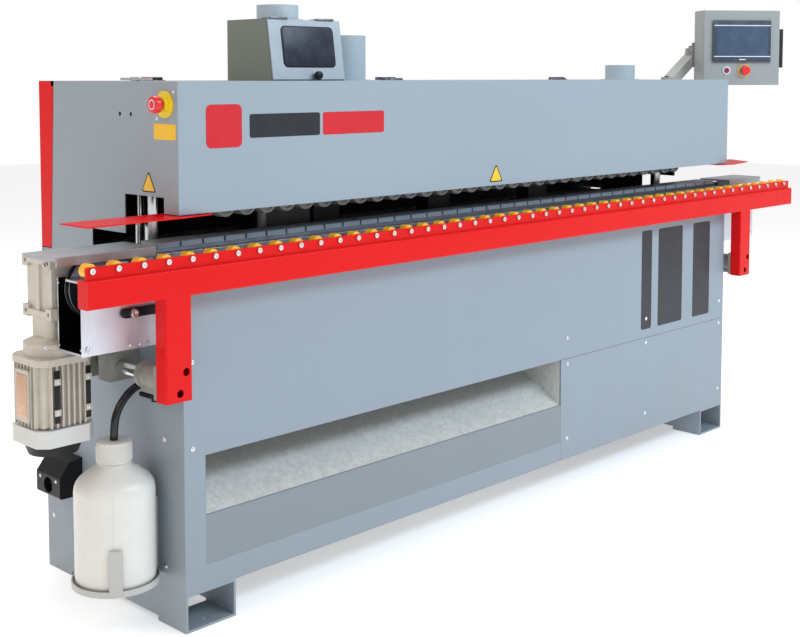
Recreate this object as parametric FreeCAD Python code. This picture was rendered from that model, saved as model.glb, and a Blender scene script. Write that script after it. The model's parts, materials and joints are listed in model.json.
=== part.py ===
import FreeCAD, Part
import math
import os

# Edge banding machine. Millimetres. The origin is the centre of the anchor bolt pattern on the
# floor, +X is the feed direction, -Y is the operator's side and +Z is up.

os.makedirs("parts", exist_ok=True)
V = FreeCAD.Vector

# Cabinet
HALF_LENGTH = 1189.0
HALF_DEPTH = 300.0
FOOT_HEIGHT = 90.0
SHEET = 3.0
BODY_TOP = 838.0
CORNER_RETURN = 57.0
WINDOW = (-1130.0, 222.0, 147.0, 406.0)
FOOT_WIDTH = 144.0
FOOT_PAD = 110.0
FOOT_STEEL = 6.0
ANCHOR_X = 1114.0
ANCHOR_Y = 270.0
ANCHOR_RADIUS = 7.0
FRAME_TUBE = 50.0
FRAME_WALL = 3.0

# Upper hood
HOOD_TOP = 1264.0
HOOD_BOTTOM = 964.0
HOOD_FRONT = -292.0
HOOD_RIGHT = 1213.0
HOOD_REAR_TOP = 232.0
HOOD_REAR_LOW = 256.0
NOTCH_FRONT = -235.0
NOTCH_REAR = -77.0
NOTCH_TOP = 1000.0
SLOT_REAR = 64.0
SLOT_TOP = 906.0
HINGE_PLACES = (-900.0, 0.0, 900.0)
HINGE_RADIUS = 5.0
HINGE_PIN = 2.5
REAR_OVERLAP = 12.0

# Conveyor
BEAM_LEFT = -1415.0
BEAM_RIGHT = 1480.0
BEAM_FRONT = -250.0
BEAM_REAR = -150.0
BEAM_LOW = 672.0
BEAM_TOP = 835.0
BEAM_WALL = 5.0
TABLE_Z = 892.0
PAD_PITCH = 64.9
PAD_COUNT = 38
PAD_START = -1181.0
PAD_GAP = 6.0
PAD_FRONT = -199.6
PAD_DEPTH = 70.0
PAD_THICKNESS = 12.0
CHAIN_Y = -172.0
CHAIN_HEIGHT = 22.0
SPROCKET_Z = 808.0
SPROCKET_PITCH_RADIUS = 61.0
DRIVE_X = -1332.0
IDLER_X = 1400.0
SPROCKET_TEETH = 12

# Gear motor
GEAR_LEFT = -1430.0
GEAR_WIDTH = 120.0
GEAR_LENGTH = 140.0
GEAR_LOW = 738.0
GEAR_TOP = 878.0
GEAR_FRONT = -148.0
MOTOR_X = -1395.0
MOTOR_Y = -88.0
MOTOR_TOP = 655.0
MOTOR_LOW = 497.0
MOTOR_HALF = 70.0

# Operator-side support rail
RAIL_LEFT = -1465.0
RAIL_RIGHT = 1584.0
RAIL_FRONT = -357.0
RAIL_REAR = -317.0
RAIL_LOW = 793.0
RAIL_TOP = 854.0
RAIL_WALL = 3.0
STRIP_FRONT = -345.0
STRIP_THICKNESS = 4.0
STRIP_TOP = 881.0
ROLLER_COUNT = 48
ROLLER_PITCH = 63.6
ROLLER_START = -1448.3
ROLLER_Z = 872.5
ROLLER_RADIUS = 15.5
ROLLER_BOLT = 4.0
LEG_X = 1240.0
LEG_WIDTH = 70.0
LEG_LOW = 560.0
ROD_Z = 603.0
ROD_RADIUS = 15.0
ROD_REAR = 230.0
RUNNING_GAP = 0.05

# Pressure beam
PRESS_PITCH = 65.0
PRESS_COUNT = 32
PRESS_START = -972.0
PRESS_RADIUS = 30.0
PRESS_Z = 965.0
PRESS_AXLE = 6.0
PRESS_BEAM = (-1010.0, 1080.0, -190.0, -130.0, 1004.0, 1104.0)
COLUMN_X = 1105.0
COLUMN_Y = -62.0
COLUMN_RADIUS = 17.5
SCREW_Y = -8.0
SCREW_RADIUS = 9.0

# Glue box on the roof
GLUE_LEFT = -751.0
GLUE_RIGHT = -496.0
GLUE_REAR = 88.0
GLUE_TOP = 1425.0
GLUE_FRONT_LOW = -96.0
GLUE_FRONT_TOP = -73.0

# Bottle
BOTTLE_X = -1290.0
BOTTLE_Y = -171.0
BOTTLE_RADIUS = 92.0
BOTTLE_LOW = 124.0
CAP_TOP = 450.0
HOSE_RADIUS = 9.5

# Control panel, built facing -Y and then turned about the vertical
PANEL_CENTRE = V(1460.0, -206.0, 1383.0)
PANEL_TURN = -38.7
PANEL_WIDTH = 300.0
PANEL_HEIGHT = 280.0
PANEL_DEPTH = 100.0
SWIVEL = V(1470.0, 20.0, 1345.0)
ARM_PIVOT = V(1240.0, -20.0, 1245.0)
ARM_HALF = 20.0


def box(x0, x1, y0, y1, z0, z1):
    """Block between three pairs of coordinates."""
    return Part.makeBox(x1 - x0, y1 - y0, z1 - z0, V(x0, y0, z0))


def round_bar(centre, axis, radius, length):
    """Cylinder that starts at centre and runs along axis."""
    return Part.makeCylinder(radius, length, V(*centre), V(*axis))


def ring(centre, axis, outer, inner, length):
    """Cylinder with a concentric bore."""
    return round_bar(centre, axis, outer, length).cut(round_bar(centre, axis, inner, length))


def prism(points, direction):
    """Closed outline of points, extruded by a direction vector."""
    corners = [V(*point) for point in points]
    wire = Part.makePolygon(corners + corners[:1])
    return Part.Face(wire).extrude(V(*direction))


def turned(profile, centre):
    """Solid of revolution about a vertical line from (radius, height) points."""
    corners = [V(centre[0] + radius, centre[1], height) for radius, height in profile]
    wire = Part.makePolygon(corners + corners[:1])
    return Part.Face(wire).revolve(V(centre[0], centre[1], 0), V(0, 0, 1), 360)


def joined(shapes):
    """One shape fused from a list of touching shapes."""
    return shapes[0].multiFuse(shapes[1:]).removeSplitter()


def mirrored(shape):
    """Copy on the other end of the machine."""
    return shape.mirror(V(0, 0, 0), V(1, 0, 0))


def group(shapes):
    """Several separate solids kept in one node."""
    return Part.makeCompound(shapes)


def square_tube(x0, x1, y0, y1, z0, z1, along):
    """Hollow rectangular tube, open at both ends along one axis."""
    wall = FRAME_WALL
    grow = {"X": (0, wall, wall), "Y": (wall, 0, wall), "Z": (wall, wall, 0)}[along]
    hollow = box(x0 + grow[0], x1 - grow[0], y0 + grow[1], y1 - grow[1], z0 + grow[2], z1 - grow[2])
    return box(x0, x1, y0, y1, z0, z1).cut(hollow)


def base_frame():
    """Welded tube frame: floor rails, uprights, cross tubes under the beam, and the unit bed."""
    tube = FRAME_TUBE
    edge_x = HALF_LENGTH - SHEET
    edge_y = HALF_DEPTH - SHEET
    low = FOOT_HEIGHT
    rail_top = low + tube
    pieces = []
    for front in (-edge_y, edge_y - tube):
        pieces.append(square_tube(-edge_x, edge_x, front, front + tube, low, rail_top, "X"))
    for left in (-edge_x, 240.0, edge_x - tube):
        cross_top = BEAM_LOW
        cross_low = cross_top - tube
        pieces.append(square_tube(left, left + tube, -edge_y, -edge_y + tube, rail_top, cross_low, "Z"))
        pieces.append(square_tube(left, left + tube, -edge_y, edge_y - tube, cross_low, cross_top, "Y"))
        pieces.append(square_tube(left, left + tube, edge_y - tube, edge_y, rail_top, BODY_TOP - 20, "Z"))
        pieces.append(square_tube(left, left + tube, -125.0, -75.0, cross_top, BODY_TOP - 20, "Z"))
    bed = box(-edge_x, edge_x, -125.0, edge_y, BODY_TOP - 20, BODY_TOP)
    return joined(pieces + [bed])


def foot():
    """Left box foot: outer web flush with the cabinet's end, floor pads front and rear."""
    inner = -HALF_LENGTH + FOOT_WIDTH
    web = box(-HALF_LENGTH, -HALF_LENGTH + FOOT_STEEL, -HALF_DEPTH, HALF_DEPTH, 12.0, FOOT_HEIGHT)
    top = box(-HALF_LENGTH, inner, -HALF_DEPTH, HALF_DEPTH, FOOT_HEIGHT - FOOT_STEEL, FOOT_HEIGHT)
    inner_web = box(inner - FOOT_STEEL, inner, -HALF_DEPTH, HALF_DEPTH, 12.0, FOOT_HEIGHT)
    pieces = [web, top, inner_web]
    for y0 in (-HALF_DEPTH, HALF_DEPTH - FOOT_PAD):
        pieces.append(box(-HALF_LENGTH, inner, y0, y0 + FOOT_PAD, 0, FOOT_STEEL))
        pieces.append(box(-HALF_LENGTH, -HALF_LENGTH + FOOT_STEEL, y0, y0 + FOOT_PAD, 0, 12.0))
        pieces.append(box(inner - FOOT_STEEL, inner, y0, y0 + FOOT_PAD, 0, 12.0))
    shape = joined(pieces)
    for y in (-ANCHOR_Y, ANCHOR_Y):
        shape = shape.cut(round_bar((-ANCHOR_X, y, -1), (0, 0, 1), ANCHOR_RADIUS, FOOT_STEEL + 2))
    return shape


def front_panel():
    """Folded front sheet with its window, its cut-out for the access panel and its end returns."""
    x0, x1, z0, z1 = WINDOW
    front = -HALF_DEPTH
    sheet = box(-HALF_LENGTH, HALF_LENGTH, front, front + SHEET, FOOT_HEIGHT, BODY_TOP)
    sheet = sheet.cut(box(x0, x1, front - 1, front + SHEET + 1, z0, z1))
    sheet = sheet.cut(box(x1, HALF_LENGTH + 1, front - 1, front + SHEET + 1, FOOT_HEIGHT - 1, z1))
    pieces = [sheet]
    back = front + CORNER_RETURN
    for x, low in ((-HALF_LENGTH, FOOT_HEIGHT), (HALF_LENGTH - SHEET, z1)):
        pieces.append(box(x, x + SHEET, front + SHEET, back, low, BEAM_LOW - 12))
        pieces.append(box(x, x + SHEET, front + SHEET, BEAM_FRONT - 12, BEAM_LOW - 12, BODY_TOP))
    flange = box(-HALF_LENGTH, HALF_LENGTH, front + SHEET, BEAM_FRONT - 12, BODY_TOP - SHEET, BODY_TOP)
    return joined(pieces + [flange])


def access_panel():
    """Removable sheet to the right of the window, folded round the corner."""
    x0 = WINDOW[1] + 1.0
    top = WINDOW[3] - 1.0
    front = -HALF_DEPTH
    sheet = box(x0, HALF_LENGTH, front, front + SHEET, FOOT_HEIGHT, top)
    side = box(HALF_LENGTH - SHEET, HALF_LENGTH, front + SHEET, front + CORNER_RETURN, FOOT_HEIGHT, top)
    return joined([sheet, side])


def side_panel(hose_hole):
    """End sheet of the lower cabinet, notched where the conveyor passes out."""
    front = -HALF_DEPTH + CORNER_RETURN
    rear = HALF_DEPTH - SHEET
    notch_rear = BEAM_REAR + 14
    notch_low = BEAM_LOW - 10
    outline = [(front, FOOT_HEIGHT), (rear, FOOT_HEIGHT), (rear, BODY_TOP), (notch_rear, BODY_TOP),
               (notch_rear, notch_low), (front, notch_low)]
    shape = prism([(-HALF_LENGTH, y, z) for y, z in outline], (SHEET, 0, 0))
    if hose_hole:
        end = hose_route()[-1]
        shape = shape.cut(round_bar((-HALF_LENGTH - 1, end[1], end[2]), (1, 0, 0), HOSE_RADIUS + 0.5, 5))
    return shape


def rear_panel():
    """Back sheet with two rows of ventilation slots."""
    shape = box(-HALF_LENGTH, HALF_LENGTH, HALF_DEPTH - SHEET, HALF_DEPTH, FOOT_HEIGHT, BODY_TOP)
    slots = []
    for bay in (-800.0, 700.0):
        for step in range(6):
            z = 620.0 + 24.0 * step
            slots.append(box(bay, bay + 160.0, HALF_DEPTH - SHEET - 1, HALF_DEPTH + 1, z, z + 8.0))
    return shape.cut(group(slots))


def chute_tray():
    """Off-cut tray behind the window: upright lip, sloping floor, end walls."""
    x0, x1, z0, z1 = WINDOW
    front = -HALF_DEPTH + SHEET
    lip_top = 264.0
    back = 60.0
    high = z1 + 70.0
    lip = box(x0 - 3, x1 + 3, front - SHEET, front, z0, lip_top)
    lip = lip.common(box(x0, x1, front - SHEET, front, z0, z1))
    outline = [(front - SHEET, lip_top), (back, high), (back, high - 4), (front, lip_top - 4),
               (front - SHEET, lip_top - 4)]
    floor = prism([(x0, y, z) for y, z in outline], (x1 - x0, 0, 0))
    wall_outline = [(front, z0), (front, z1 + 40), (back, z1 + 140), (back, high - 4), (front, lip_top - 4)]
    walls = []
    for x in (x0, x1 - SHEET):
        walls.append(prism([(x, y, z) for y, z in wall_outline], (SHEET, 0, 0)))
    return joined([lip, floor] + walls)


def screw_head(x, y, z, axis):
    """Dome-headed sheet screw standing on a panel."""
    base = V(x, y, z)
    direction = V(*axis)
    disc = Part.makeCylinder(6.0, 1.2, base, direction)
    dome = Part.makeCone(4.6, 2.6, 2.2, base + direction * 1.2, direction)
    socket = Part.makeCylinder(1.7, 1.6, base + direction * 2.0, direction)
    return disc.fuse(dome).cut(socket)


def panel_screws():
    """All the sheet screws that hold the panels."""
    spots = [(-1165.0, 428.0), (-1165.0, 628.0)]
    spots += [(256.0, z) for z in (470.0, 389.0, 155.0)]
    spots += [(690.0, z) for z in (470.0, 389.0, 150.0)]
    spots += [(1160.0, z) for z in (470.0, 389.0, 150.0)]
    heads = [screw_head(x, -HALF_DEPTH, z, (0, -1, 0)) for x, z in spots]
    for z in (140.0, 440.0, 620.0):
        for y in (-225.0, 270.0):
            heads.append(screw_head(-HALF_LENGTH, y, z, (-1, 0, 0)))
            heads.append(screw_head(HALF_LENGTH, y, z, (1, 0, 0)))
    return group(heads)


def upper_hood():
    """Folded hood: front sheet, roof and both ends, with the workpiece notch in each end."""
    left = -HALF_LENGTH
    front = box(left, HOOD_RIGHT, HOOD_FRONT, HOOD_FRONT + SHEET, HOOD_BOTTOM, HOOD_TOP)
    hem = box(left, HOOD_RIGHT, HOOD_FRONT, HOOD_FRONT + 22, HOOD_BOTTOM, HOOD_BOTTOM + 2)
    roof = box(left, HOOD_RIGHT, HOOD_FRONT, HOOD_REAR_TOP, HOOD_TOP - SHEET, HOOD_TOP)
    outline = [(HOOD_FRONT, HOOD_BOTTOM), (NOTCH_FRONT, HOOD_BOTTOM), (NOTCH_FRONT, NOTCH_TOP),
               (NOTCH_REAR, NOTCH_TOP), (NOTCH_REAR, SLOT_TOP), (SLOT_REAR, SLOT_TOP),
               (SLOT_REAR, BODY_TOP), (HOOD_REAR_LOW, BODY_TOP), (HOOD_REAR_TOP, HOOD_TOP),
               (HOOD_FRONT, HOOD_TOP)]
    ends = []
    for x in (left, HOOD_RIGHT - SHEET):
        ends.append(prism([(x, y, z) for y, z in outline], (SHEET, 0, 0)))
    sill = box(HALF_LENGTH, HOOD_RIGHT, SLOT_REAR, HOOD_REAR_LOW, BODY_TOP - SHEET, BODY_TOP)
    shape = joined([front, hem, roof, sill] + ends)
    for y in (-62.0, -107.0):
        shape = shape.cut(round_bar((left - 1, y, 1187.5), (1, 0, 0), 5.0, SHEET + 2))
    for x in (-COLUMN_X, COLUMN_X):
        shape = shape.cut(round_bar((x, SCREW_Y, HOOD_TOP - 5), (0, 0, 1), SCREW_RADIUS + 0.5, 10))
    for x, y, radius, low in PORTS[1:]:
        shape = shape.cut(round_bar((x, y, HOOD_TOP - 5), (0, 0, 1), radius - 2, 10))
    stop = round_bar((left - 1, -245.0, 1212.0), (1, 0, 0), 11.0, SHEET + 2)
    pieces = [shape.cut(stop), arm_bracket()]
    for x in HINGE_PLACES:
        pieces.append(hinge_knuckle(x - 40.0, x - 14.0, -20.0))
        pieces.append(hinge_knuckle(x + 14.0, x + 40.0, -20.0))
        pin = round_bar((x - 40.0, HOOD_REAR_TOP + 7, HOOD_TOP + 5), (1, 0, 0), HINGE_PIN, 80.0)
        caps = [ring((end, HOOD_REAR_TOP + 7, HOOD_TOP + 5), (1, 0, 0), HINGE_RADIUS, HINGE_PIN - 1, 2.0)
                for end in (x - 42.0, x + 40.0)]
        pieces += [pin] + caps
    return joined(pieces)


# Extraction collars: centre x, centre y, radius, height of the base, in the order hopper, rear, right
PORTS = [(-650.0, 0.0, 56.0, 1425.0), (-307.0, 100.0, 60.0, 1264.0), (960.0, 0.0, 53.0, 1264.0)]
PORT_TOPS = [1465.0, 1394.0, 1316.0]


def extraction_ports():
    """Spiral-pipe collars with a foot flange each."""
    collars = []
    for (x, y, radius, low), top in zip(PORTS, PORT_TOPS):
        pipe = ring((x, y, low), (0, 0, 1), radius, radius - 1.5, top - low)
        flange = ring((x, y, low), (0, 0, 1), radius + 14, radius - 1.5, 2)
        collars.append(pipe.fuse(flange))
    return group(collars)


def rear_hood():
    """Lift-up rear cover: back sheet, top strip and end flanges, hinged along its top edge."""
    y_out = HALF_DEPTH + 4
    gap = 1.5
    left = -HALF_LENGTH
    back = box(left, HOOD_RIGHT, y_out - 2, y_out, BODY_TOP - REAR_OVERLAP, HOOD_TOP)
    top = box(left, HOOD_RIGHT, HOOD_REAR_TOP + 14, y_out, HOOD_TOP - 2, HOOD_TOP)
    outline = [(HOOD_REAR_LOW + gap, BODY_TOP + 2), (y_out, BODY_TOP + 2), (y_out, HOOD_TOP),
               (HOOD_REAR_TOP + 14, HOOD_TOP), (HOOD_REAR_TOP + 14, HOOD_TOP - 12),
               (HOOD_REAR_TOP + gap + 1, HOOD_TOP - 14)]
    ends = []
    for x in (left, HOOD_RIGHT - 2):
        ends.append(prism([(x, y, z) for y, z in outline], (2, 0, 0)))
    knuckles = [hinge_knuckle(x - 13.5, x + 13.5, 20.0) for x in HINGE_PLACES]
    return joined([back, top] + ends + knuckles)


def hinge_knuckle(x0, x1, leaf_depth):
    """Stretch of hinge tube about the rear hood's axis, with its leaf on the sheet beside it."""
    y = HOOD_REAR_TOP + 7
    y0, y1 = sorted((y, y + leaf_depth))
    leaf = box(x0, x1, y0, y1, HOOD_TOP, HOOD_TOP + 2)
    tube = round_bar((x0, y, HOOD_TOP + 5), (1, 0, 0), HINGE_RADIUS, x1 - x0)
    bore = round_bar((x0 - 1, y, HOOD_TOP + 5), (1, 0, 0), HINGE_PIN + RUNNING_GAP, x1 - x0 + 2)
    return leaf.fuse(tube).cut(bore)


def guide_columns():
    """Two ground columns that the pressure beam runs on, each with a foot flange."""
    columns = []
    for x in (-COLUMN_X, COLUMN_X):
        post = round_bar((x, COLUMN_Y, BODY_TOP), (0, 0, 1), COLUMN_RADIUS, HOOD_TOP - SHEET - BODY_TOP)
        flange = round_bar((x, COLUMN_Y, BODY_TOP), (0, 0, 1), COLUMN_RADIUS + 14, 12)
        columns.append(post.fuse(flange))
    return group(columns)


def conveyor_beam():
    """Rectangular beam, open at both ends, slotted where the chain turns round the sprockets."""
    beam = box(BEAM_LEFT, BEAM_RIGHT, BEAM_FRONT, BEAM_REAR, BEAM_LOW, BEAM_TOP)
    inner = box(BEAM_LEFT - 1, BEAM_RIGHT + 1, BEAM_FRONT + BEAM_WALL, BEAM_REAR - BEAM_WALL,
                BEAM_LOW + BEAM_WALL, BEAM_TOP - BEAM_WALL)
    beam = beam.cut(inner)
    chain_y0 = CHAIN_Y - 14
    chain_y1 = BEAM_REAR - BEAM_WALL
    for x0, x1 in ((BEAM_LEFT - 1, DRIVE_X + 90), (IDLER_X - 90, BEAM_RIGHT + 1)):
        beam = beam.cut(box(x0, x1, chain_y0, chain_y1, BEAM_TOP - 10, BEAM_TOP + 1))
    beam = beam.cut(round_bar((DRIVE_X, BEAM_FRONT - 1, SPROCKET_Z), (0, 1, 0), 12.05, 110))
    beam = beam.cut(round_bar((IDLER_X, BEAM_FRONT - 1, SPROCKET_Z), (0, 1, 0), 12.05, 110))
    return beam


def beam_side_plate():
    """Bright cover plates on the beam's operator side, left and right of the cabinet."""
    plates = []
    for x0, x1 in ((BEAM_LEFT - 3, -HALF_LENGTH - 12), (HALF_LENGTH + 12, BEAM_RIGHT)):
        plate = box(x0, x1, BEAM_FRONT - 3, BEAM_FRONT, BEAM_LOW, BEAM_TOP)
        for x in (x0 + 12, x1 - 12):
            plate = plate.fuse(screw_head(x, BEAM_FRONT - 3, BEAM_LOW + 9, (0, -1, 0)))
        shaft_x = DRIVE_X if x0 < 0 else IDLER_X
        plate = plate.cut(round_bar((shaft_x, BEAM_FRONT - 9, SPROCKET_Z), (0, 1, 0), 16, 12))
        plates.append(plate)
    return group(plates)


def end_plate(x0, x1):
    """Fixed table plate with a rolled outer edge, standing over a sprocket."""
    plate = box(x0, x1, BEAM_FRONT + 11, -115.0, TABLE_Z - 7, TABLE_Z)
    edge = x0 if x0 < 0 else x1
    vertical = [e for e in plate.Edges if abs(e.BoundBox.XMin - edge) < 0.1 and e.BoundBox.ZLength > 5]
    plate = plate.makeFillet(14.0, vertical)
    inner_end = x1 if x0 < 0 else x0
    step = 40.0 if x0 < 0 else -40.0
    low, high = sorted((inner_end, inner_end - step))
    foot_block = box(low, high, BEAM_FRONT + 15, -188.0, BEAM_TOP, TABLE_Z - 7)
    lip_left, lip_right = (x0 + 14, x1) if x0 < 0 else (x0, x1 - 14)
    lip = box(lip_left, lip_right, BEAM_FRONT + 11, BEAM_FRONT + 16, TABLE_Z - 20, TABLE_Z - 7)
    return joined([plate, foot_block, lip])


def track_guide():
    """Guide extrusion on the beam, with a channel that the chain's top strand runs in."""
    x0 = -1215.0
    x1 = 1330.0
    body = box(x0, x1, BEAM_FRONT + 6, -138.0, BEAM_TOP, 868.0)
    channel = box(x0 - 1, x1 + 1, CHAIN_Y - 13, CHAIN_Y + 13, BEAM_TOP + 8, 869.0)
    lip = box(x0, x1, BEAM_FRONT + 6, BEAM_FRONT + 10, 868.0, 874.0)
    return body.cut(channel).fuse(lip).removeSplitter()


def feed_pads():
    """Ribbed pads on the chain's top strand, one solid each."""
    pads = []
    for index in range(PAD_COUNT):
        x0 = PAD_START + PAD_PITCH * index
        x1 = x0 + PAD_PITCH - PAD_GAP
        pad = box(x0, x1, PAD_FRONT, PAD_FRONT + PAD_DEPTH, TABLE_Z - PAD_THICKNESS, TABLE_Z)
        grooves = []
        for rib in range(6):
            y = PAD_FRONT + 8.0 + 10.0 * rib
            grooves.append(box(x0 - 1, x1 + 1, y, y + 3.0, TABLE_Z - 1.2, TABLE_Z + 1))
        pads.append(pad.cut(group(grooves)))
    return group(pads)


def racetrack(offset, y0, thickness):
    """Loop outline round both sprockets at an offset from the pitch line, as a solid plate."""
    radius = SPROCKET_PITCH_RADIUS + offset
    middle = box(DRIVE_X, IDLER_X, y0, y0 + thickness, SPROCKET_Z - radius, SPROCKET_Z + radius)
    ends = [round_bar((x, y0, SPROCKET_Z), (0, 1, 0), radius, thickness) for x in (DRIVE_X, IDLER_X)]
    return middle.multiFuse(ends).removeSplitter()


def feed_chain():
    """Endless chain: two side-plate loops joined by pins along both strands."""
    half = CHAIN_HEIGHT / 2
    shape = None
    for y0 in (CHAIN_Y - 11.0, CHAIN_Y + 7.0):
        loop = racetrack(half, y0, 4.0).cut(racetrack(-half, y0 - 1, 6.0))
        shape = loop if shape is None else shape.fuse(loop)
    pins = []
    clear = SPROCKET_PITCH_RADIUS + 30.0
    steps = int((IDLER_X - DRIVE_X - 2 * clear) / PAD_PITCH)
    for strand in (-SPROCKET_PITCH_RADIUS, SPROCKET_PITCH_RADIUS):
        for index in range(steps + 1):
            x = DRIVE_X + clear + PAD_PITCH * index
            pins.append(round_bar((x, CHAIN_Y - 11, SPROCKET_Z + strand), (0, 1, 0), 5.0, 22.0))
    return shape.multiFuse(pins)


def sprocket(x, bore):
    """Toothed wheel between the chain's side plates."""
    root = SPROCKET_PITCH_RADIUS - 9.0
    tip = SPROCKET_PITCH_RADIUS + 5.0
    disc = round_bar((x, CHAIN_Y - 5, SPROCKET_Z), (0, 1, 0), root, 10.0)
    teeth = []
    for index in range(SPROCKET_TEETH):
        low, high = SPROCKET_Z + root - 4, SPROCKET_Z + tip
        outline = [(x - 9, low), (x + 9, low), (x + 3, high), (x - 3, high)]
        tooth = prism([(px, CHAIN_Y - 5, pz) for px, pz in outline], (0, 10, 0))
        tooth.rotate(V(x, 0, SPROCKET_Z), V(0, 1, 0), 360.0 / SPROCKET_TEETH * index)
        teeth.append(tooth)
    hub = round_bar((x, CHAIN_Y - 20, SPROCKET_Z), (0, 1, 0), 22.0, 24.0)
    wheel = disc.multiFuse(teeth + [hub]).removeSplitter()
    return wheel.cut(round_bar((x, CHAIN_Y - 30, SPROCKET_Z), (0, 1, 0), bore, 60.0))


def drive_shaft():
    """Keyed output shaft from the gearbox through both walls of the beam."""
    shaft = round_bar((DRIVE_X, BEAM_FRONT - 2, SPROCKET_Z), (0, 1, 0), 12.0, 2 - BEAM_FRONT - 30.0)
    collar = ring((DRIVE_X, -120.0, SPROCKET_Z), (0, 1, 0), 16.0, 11.0, 8.0)
    return shaft.fuse(collar)


def idler_sprocket():
    """Return sprocket with its own axle."""
    axle = round_bar((IDLER_X, BEAM_FRONT - 2, SPROCKET_Z), (0, 1, 0), 12.0, BEAM_REAR - BEAM_FRONT + 4)
    return sprocket(IDLER_X, 11.0).fuse(axle)


def gearbox_centre_y():
    return GEAR_FRONT + GEAR_WIDTH / 2


def worm_wheel():
    """Bronze wheel on the output shaft inside the gearbox."""
    centre = (DRIVE_X, gearbox_centre_y() - 11.0, SPROCKET_Z)
    wheel = round_bar(centre, (0, 1, 0), 44.0, 22.0)
    rim_groove = ring((DRIVE_X, gearbox_centre_y() - 5.0, SPROCKET_Z), (0, 1, 0), 46.0, 41.5, 10.0)
    bore = round_bar((DRIVE_X, gearbox_centre_y() - 12.0, SPROCKET_Z), (0, 1, 0), 12.0, 24.0)
    return wheel.cut(rim_groove).cut(bore)


def gearbox_housing():
    """Cast worm gearbox: hollow body, end lugs, bearing bosses, neck and motor flange."""
    x0 = GEAR_LEFT
    x1 = x0 + GEAR_LENGTH + 20.0
    y0 = GEAR_FRONT
    y1 = y0 + GEAR_WIDTH
    body = box(x0 + 8, x1, y0 + 8, y1 - 8, GEAR_LOW + 8, GEAR_TOP - 8)
    corner = [e for e in body.Edges if e.BoundBox.YLength > 50]
    body = body.makeFillet(10.0, corner)
    pieces = [body]
    for z0 in (GEAR_LOW, GEAR_TOP - 26):
        for y in (y0, y1 - 24):
            pieces.append(box(x0, x0 + 22, y, y + 24, z0, z0 + 26))
    pieces.append(box(x0, x0 + 10, y0 + 10, y1 - 10, GEAR_LOW + 4, GEAR_LOW + 18))
    pieces.append(box(x0, x0 + 10, y0 + 10, y1 - 10, GEAR_TOP - 18, GEAR_TOP - 4))
    pieces.append(box(x0 + 2, x0 + 10, y0 + 52, y1 - 52, GEAR_LOW + 10, GEAR_TOP - 10))
    pieces.append(round_bar((DRIVE_X, y1 - 9, SPROCKET_Z), (0, 1, 0), 46.0, 9.0))
    pieces.append(round_bar((DRIVE_X, y0, SPROCKET_Z), (0, 1, 0), 46.0, 9.0))
    neck = box(MOTOR_X - 31, MOTOR_X + 45, MOTOR_Y - 40, MOTOR_Y + 40, 690.0, GEAR_LOW + 9)
    edges = [e for e in neck.Edges if e.BoundBox.ZLength > 20]
    pieces.append(neck.makeFillet(18.0, edges))
    pieces.append(round_bar((MOTOR_X, MOTOR_Y, 672.0), (0, 0, 1), 62.0, 12.0))
    pieces.append(Part.makeCone(62.0, 40.0, 10.0, V(MOTOR_X, MOTOR_Y, 684.0), V(0, 0, 1)))
    shape = joined(pieces)
    shape = shape.cut(round_bar((DRIVE_X, gearbox_centre_y() - 18, SPROCKET_Z), (0, 1, 0), 50.0, 36.0))
    shape = shape.cut(round_bar((DRIVE_X, y0 - 2, SPROCKET_Z), (0, 1, 0), 12.05, GEAR_WIDTH + 4))
    shape = shape.cut(round_bar((DRIVE_X, -121.0, SPROCKET_Z), (0, 1, 0), 17.0, 10.0))
    shape = shape.cut(round_bar((MOTOR_X, MOTOR_Y, 660.0), (0, 0, 1), 18.0, GEAR_TOP - 24 - 660.0))
    for z in (GEAR_LOW + 13, GEAR_TOP - 13):
        for y in (y0 + 12, y1 - 12):
            shape = shape.cut(round_bar((x0 - 1, y, z), (1, 0, 0), 4.5, 18.0))
    return shape


def chamfered_square(half, chamfer, z0, z1):
    """Square column with cut corners about the motor's axis."""
    short = half - chamfer
    outline = [(half, short), (short, half), (-short, half), (-half, short),
               (-half, -short), (-short, -half), (short, -half), (half, -short)]
    return prism([(MOTOR_X + x, MOTOR_Y + y, z0) for x, y in outline], (0, 0, z1 - z0))


def motor_housing():
    """Finned motor body with its mounting flange and a bore for the rotor."""
    core = round_bar((MOTOR_X, MOTOR_Y, MOTOR_LOW), (0, 0, 1), 60.0, MOTOR_TOP - 12 - MOTOR_LOW)
    fins = []
    for index in range(9):
        offset = -56.0 + 14.0 * index
        reach = MOTOR_HALF if abs(offset) < 46 else MOTOR_HALF - (abs(offset) - 44)
        low, high = MOTOR_LOW + 4, MOTOR_TOP - 16
        x, y = MOTOR_X + offset, MOTOR_Y + offset
        fins.append(box(MOTOR_X - reach, MOTOR_X + reach, y - 2, y + 2, low, high))
        fins.append(box(x - 2, x + 2, MOTOR_Y - reach, MOTOR_Y + reach, low, high))
    ring_plate = chamfered_square(MOTOR_HALF, 20.0, MOTOR_TOP - 16, MOTOR_TOP)
    flange = round_bar((MOTOR_X, MOTOR_Y, MOTOR_TOP), (0, 0, 1), 62.0, 17.0)
    name_plate = box(MOTOR_X - MOTOR_HALF - 6, MOTOR_X - 40, MOTOR_Y - 28, MOTOR_Y + 28, 512.0, 628.0)
    shape = joined([core] + fins + [ring_plate, flange, name_plate])
    return shape.cut(round_bar((MOTOR_X, MOTOR_Y, MOTOR_LOW - 1), (0, 0, 1), 42.0, 178.0))


def worm_shaft():
    """Motor shaft with rotor pack and worm thread body in one line."""
    rotor = round_bar((MOTOR_X, MOTOR_Y, 510.0), (0, 0, 1), 40.0, 110.0)
    shaft = round_bar((MOTOR_X, MOTOR_Y, 478.0), (0, 0, 1), 9.0, 370.0)
    worm = round_bar((MOTOR_X, MOTOR_Y, 768.0), (0, 0, 1), 15.0, 80.0)
    return joined([rotor, shaft, worm])


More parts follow.
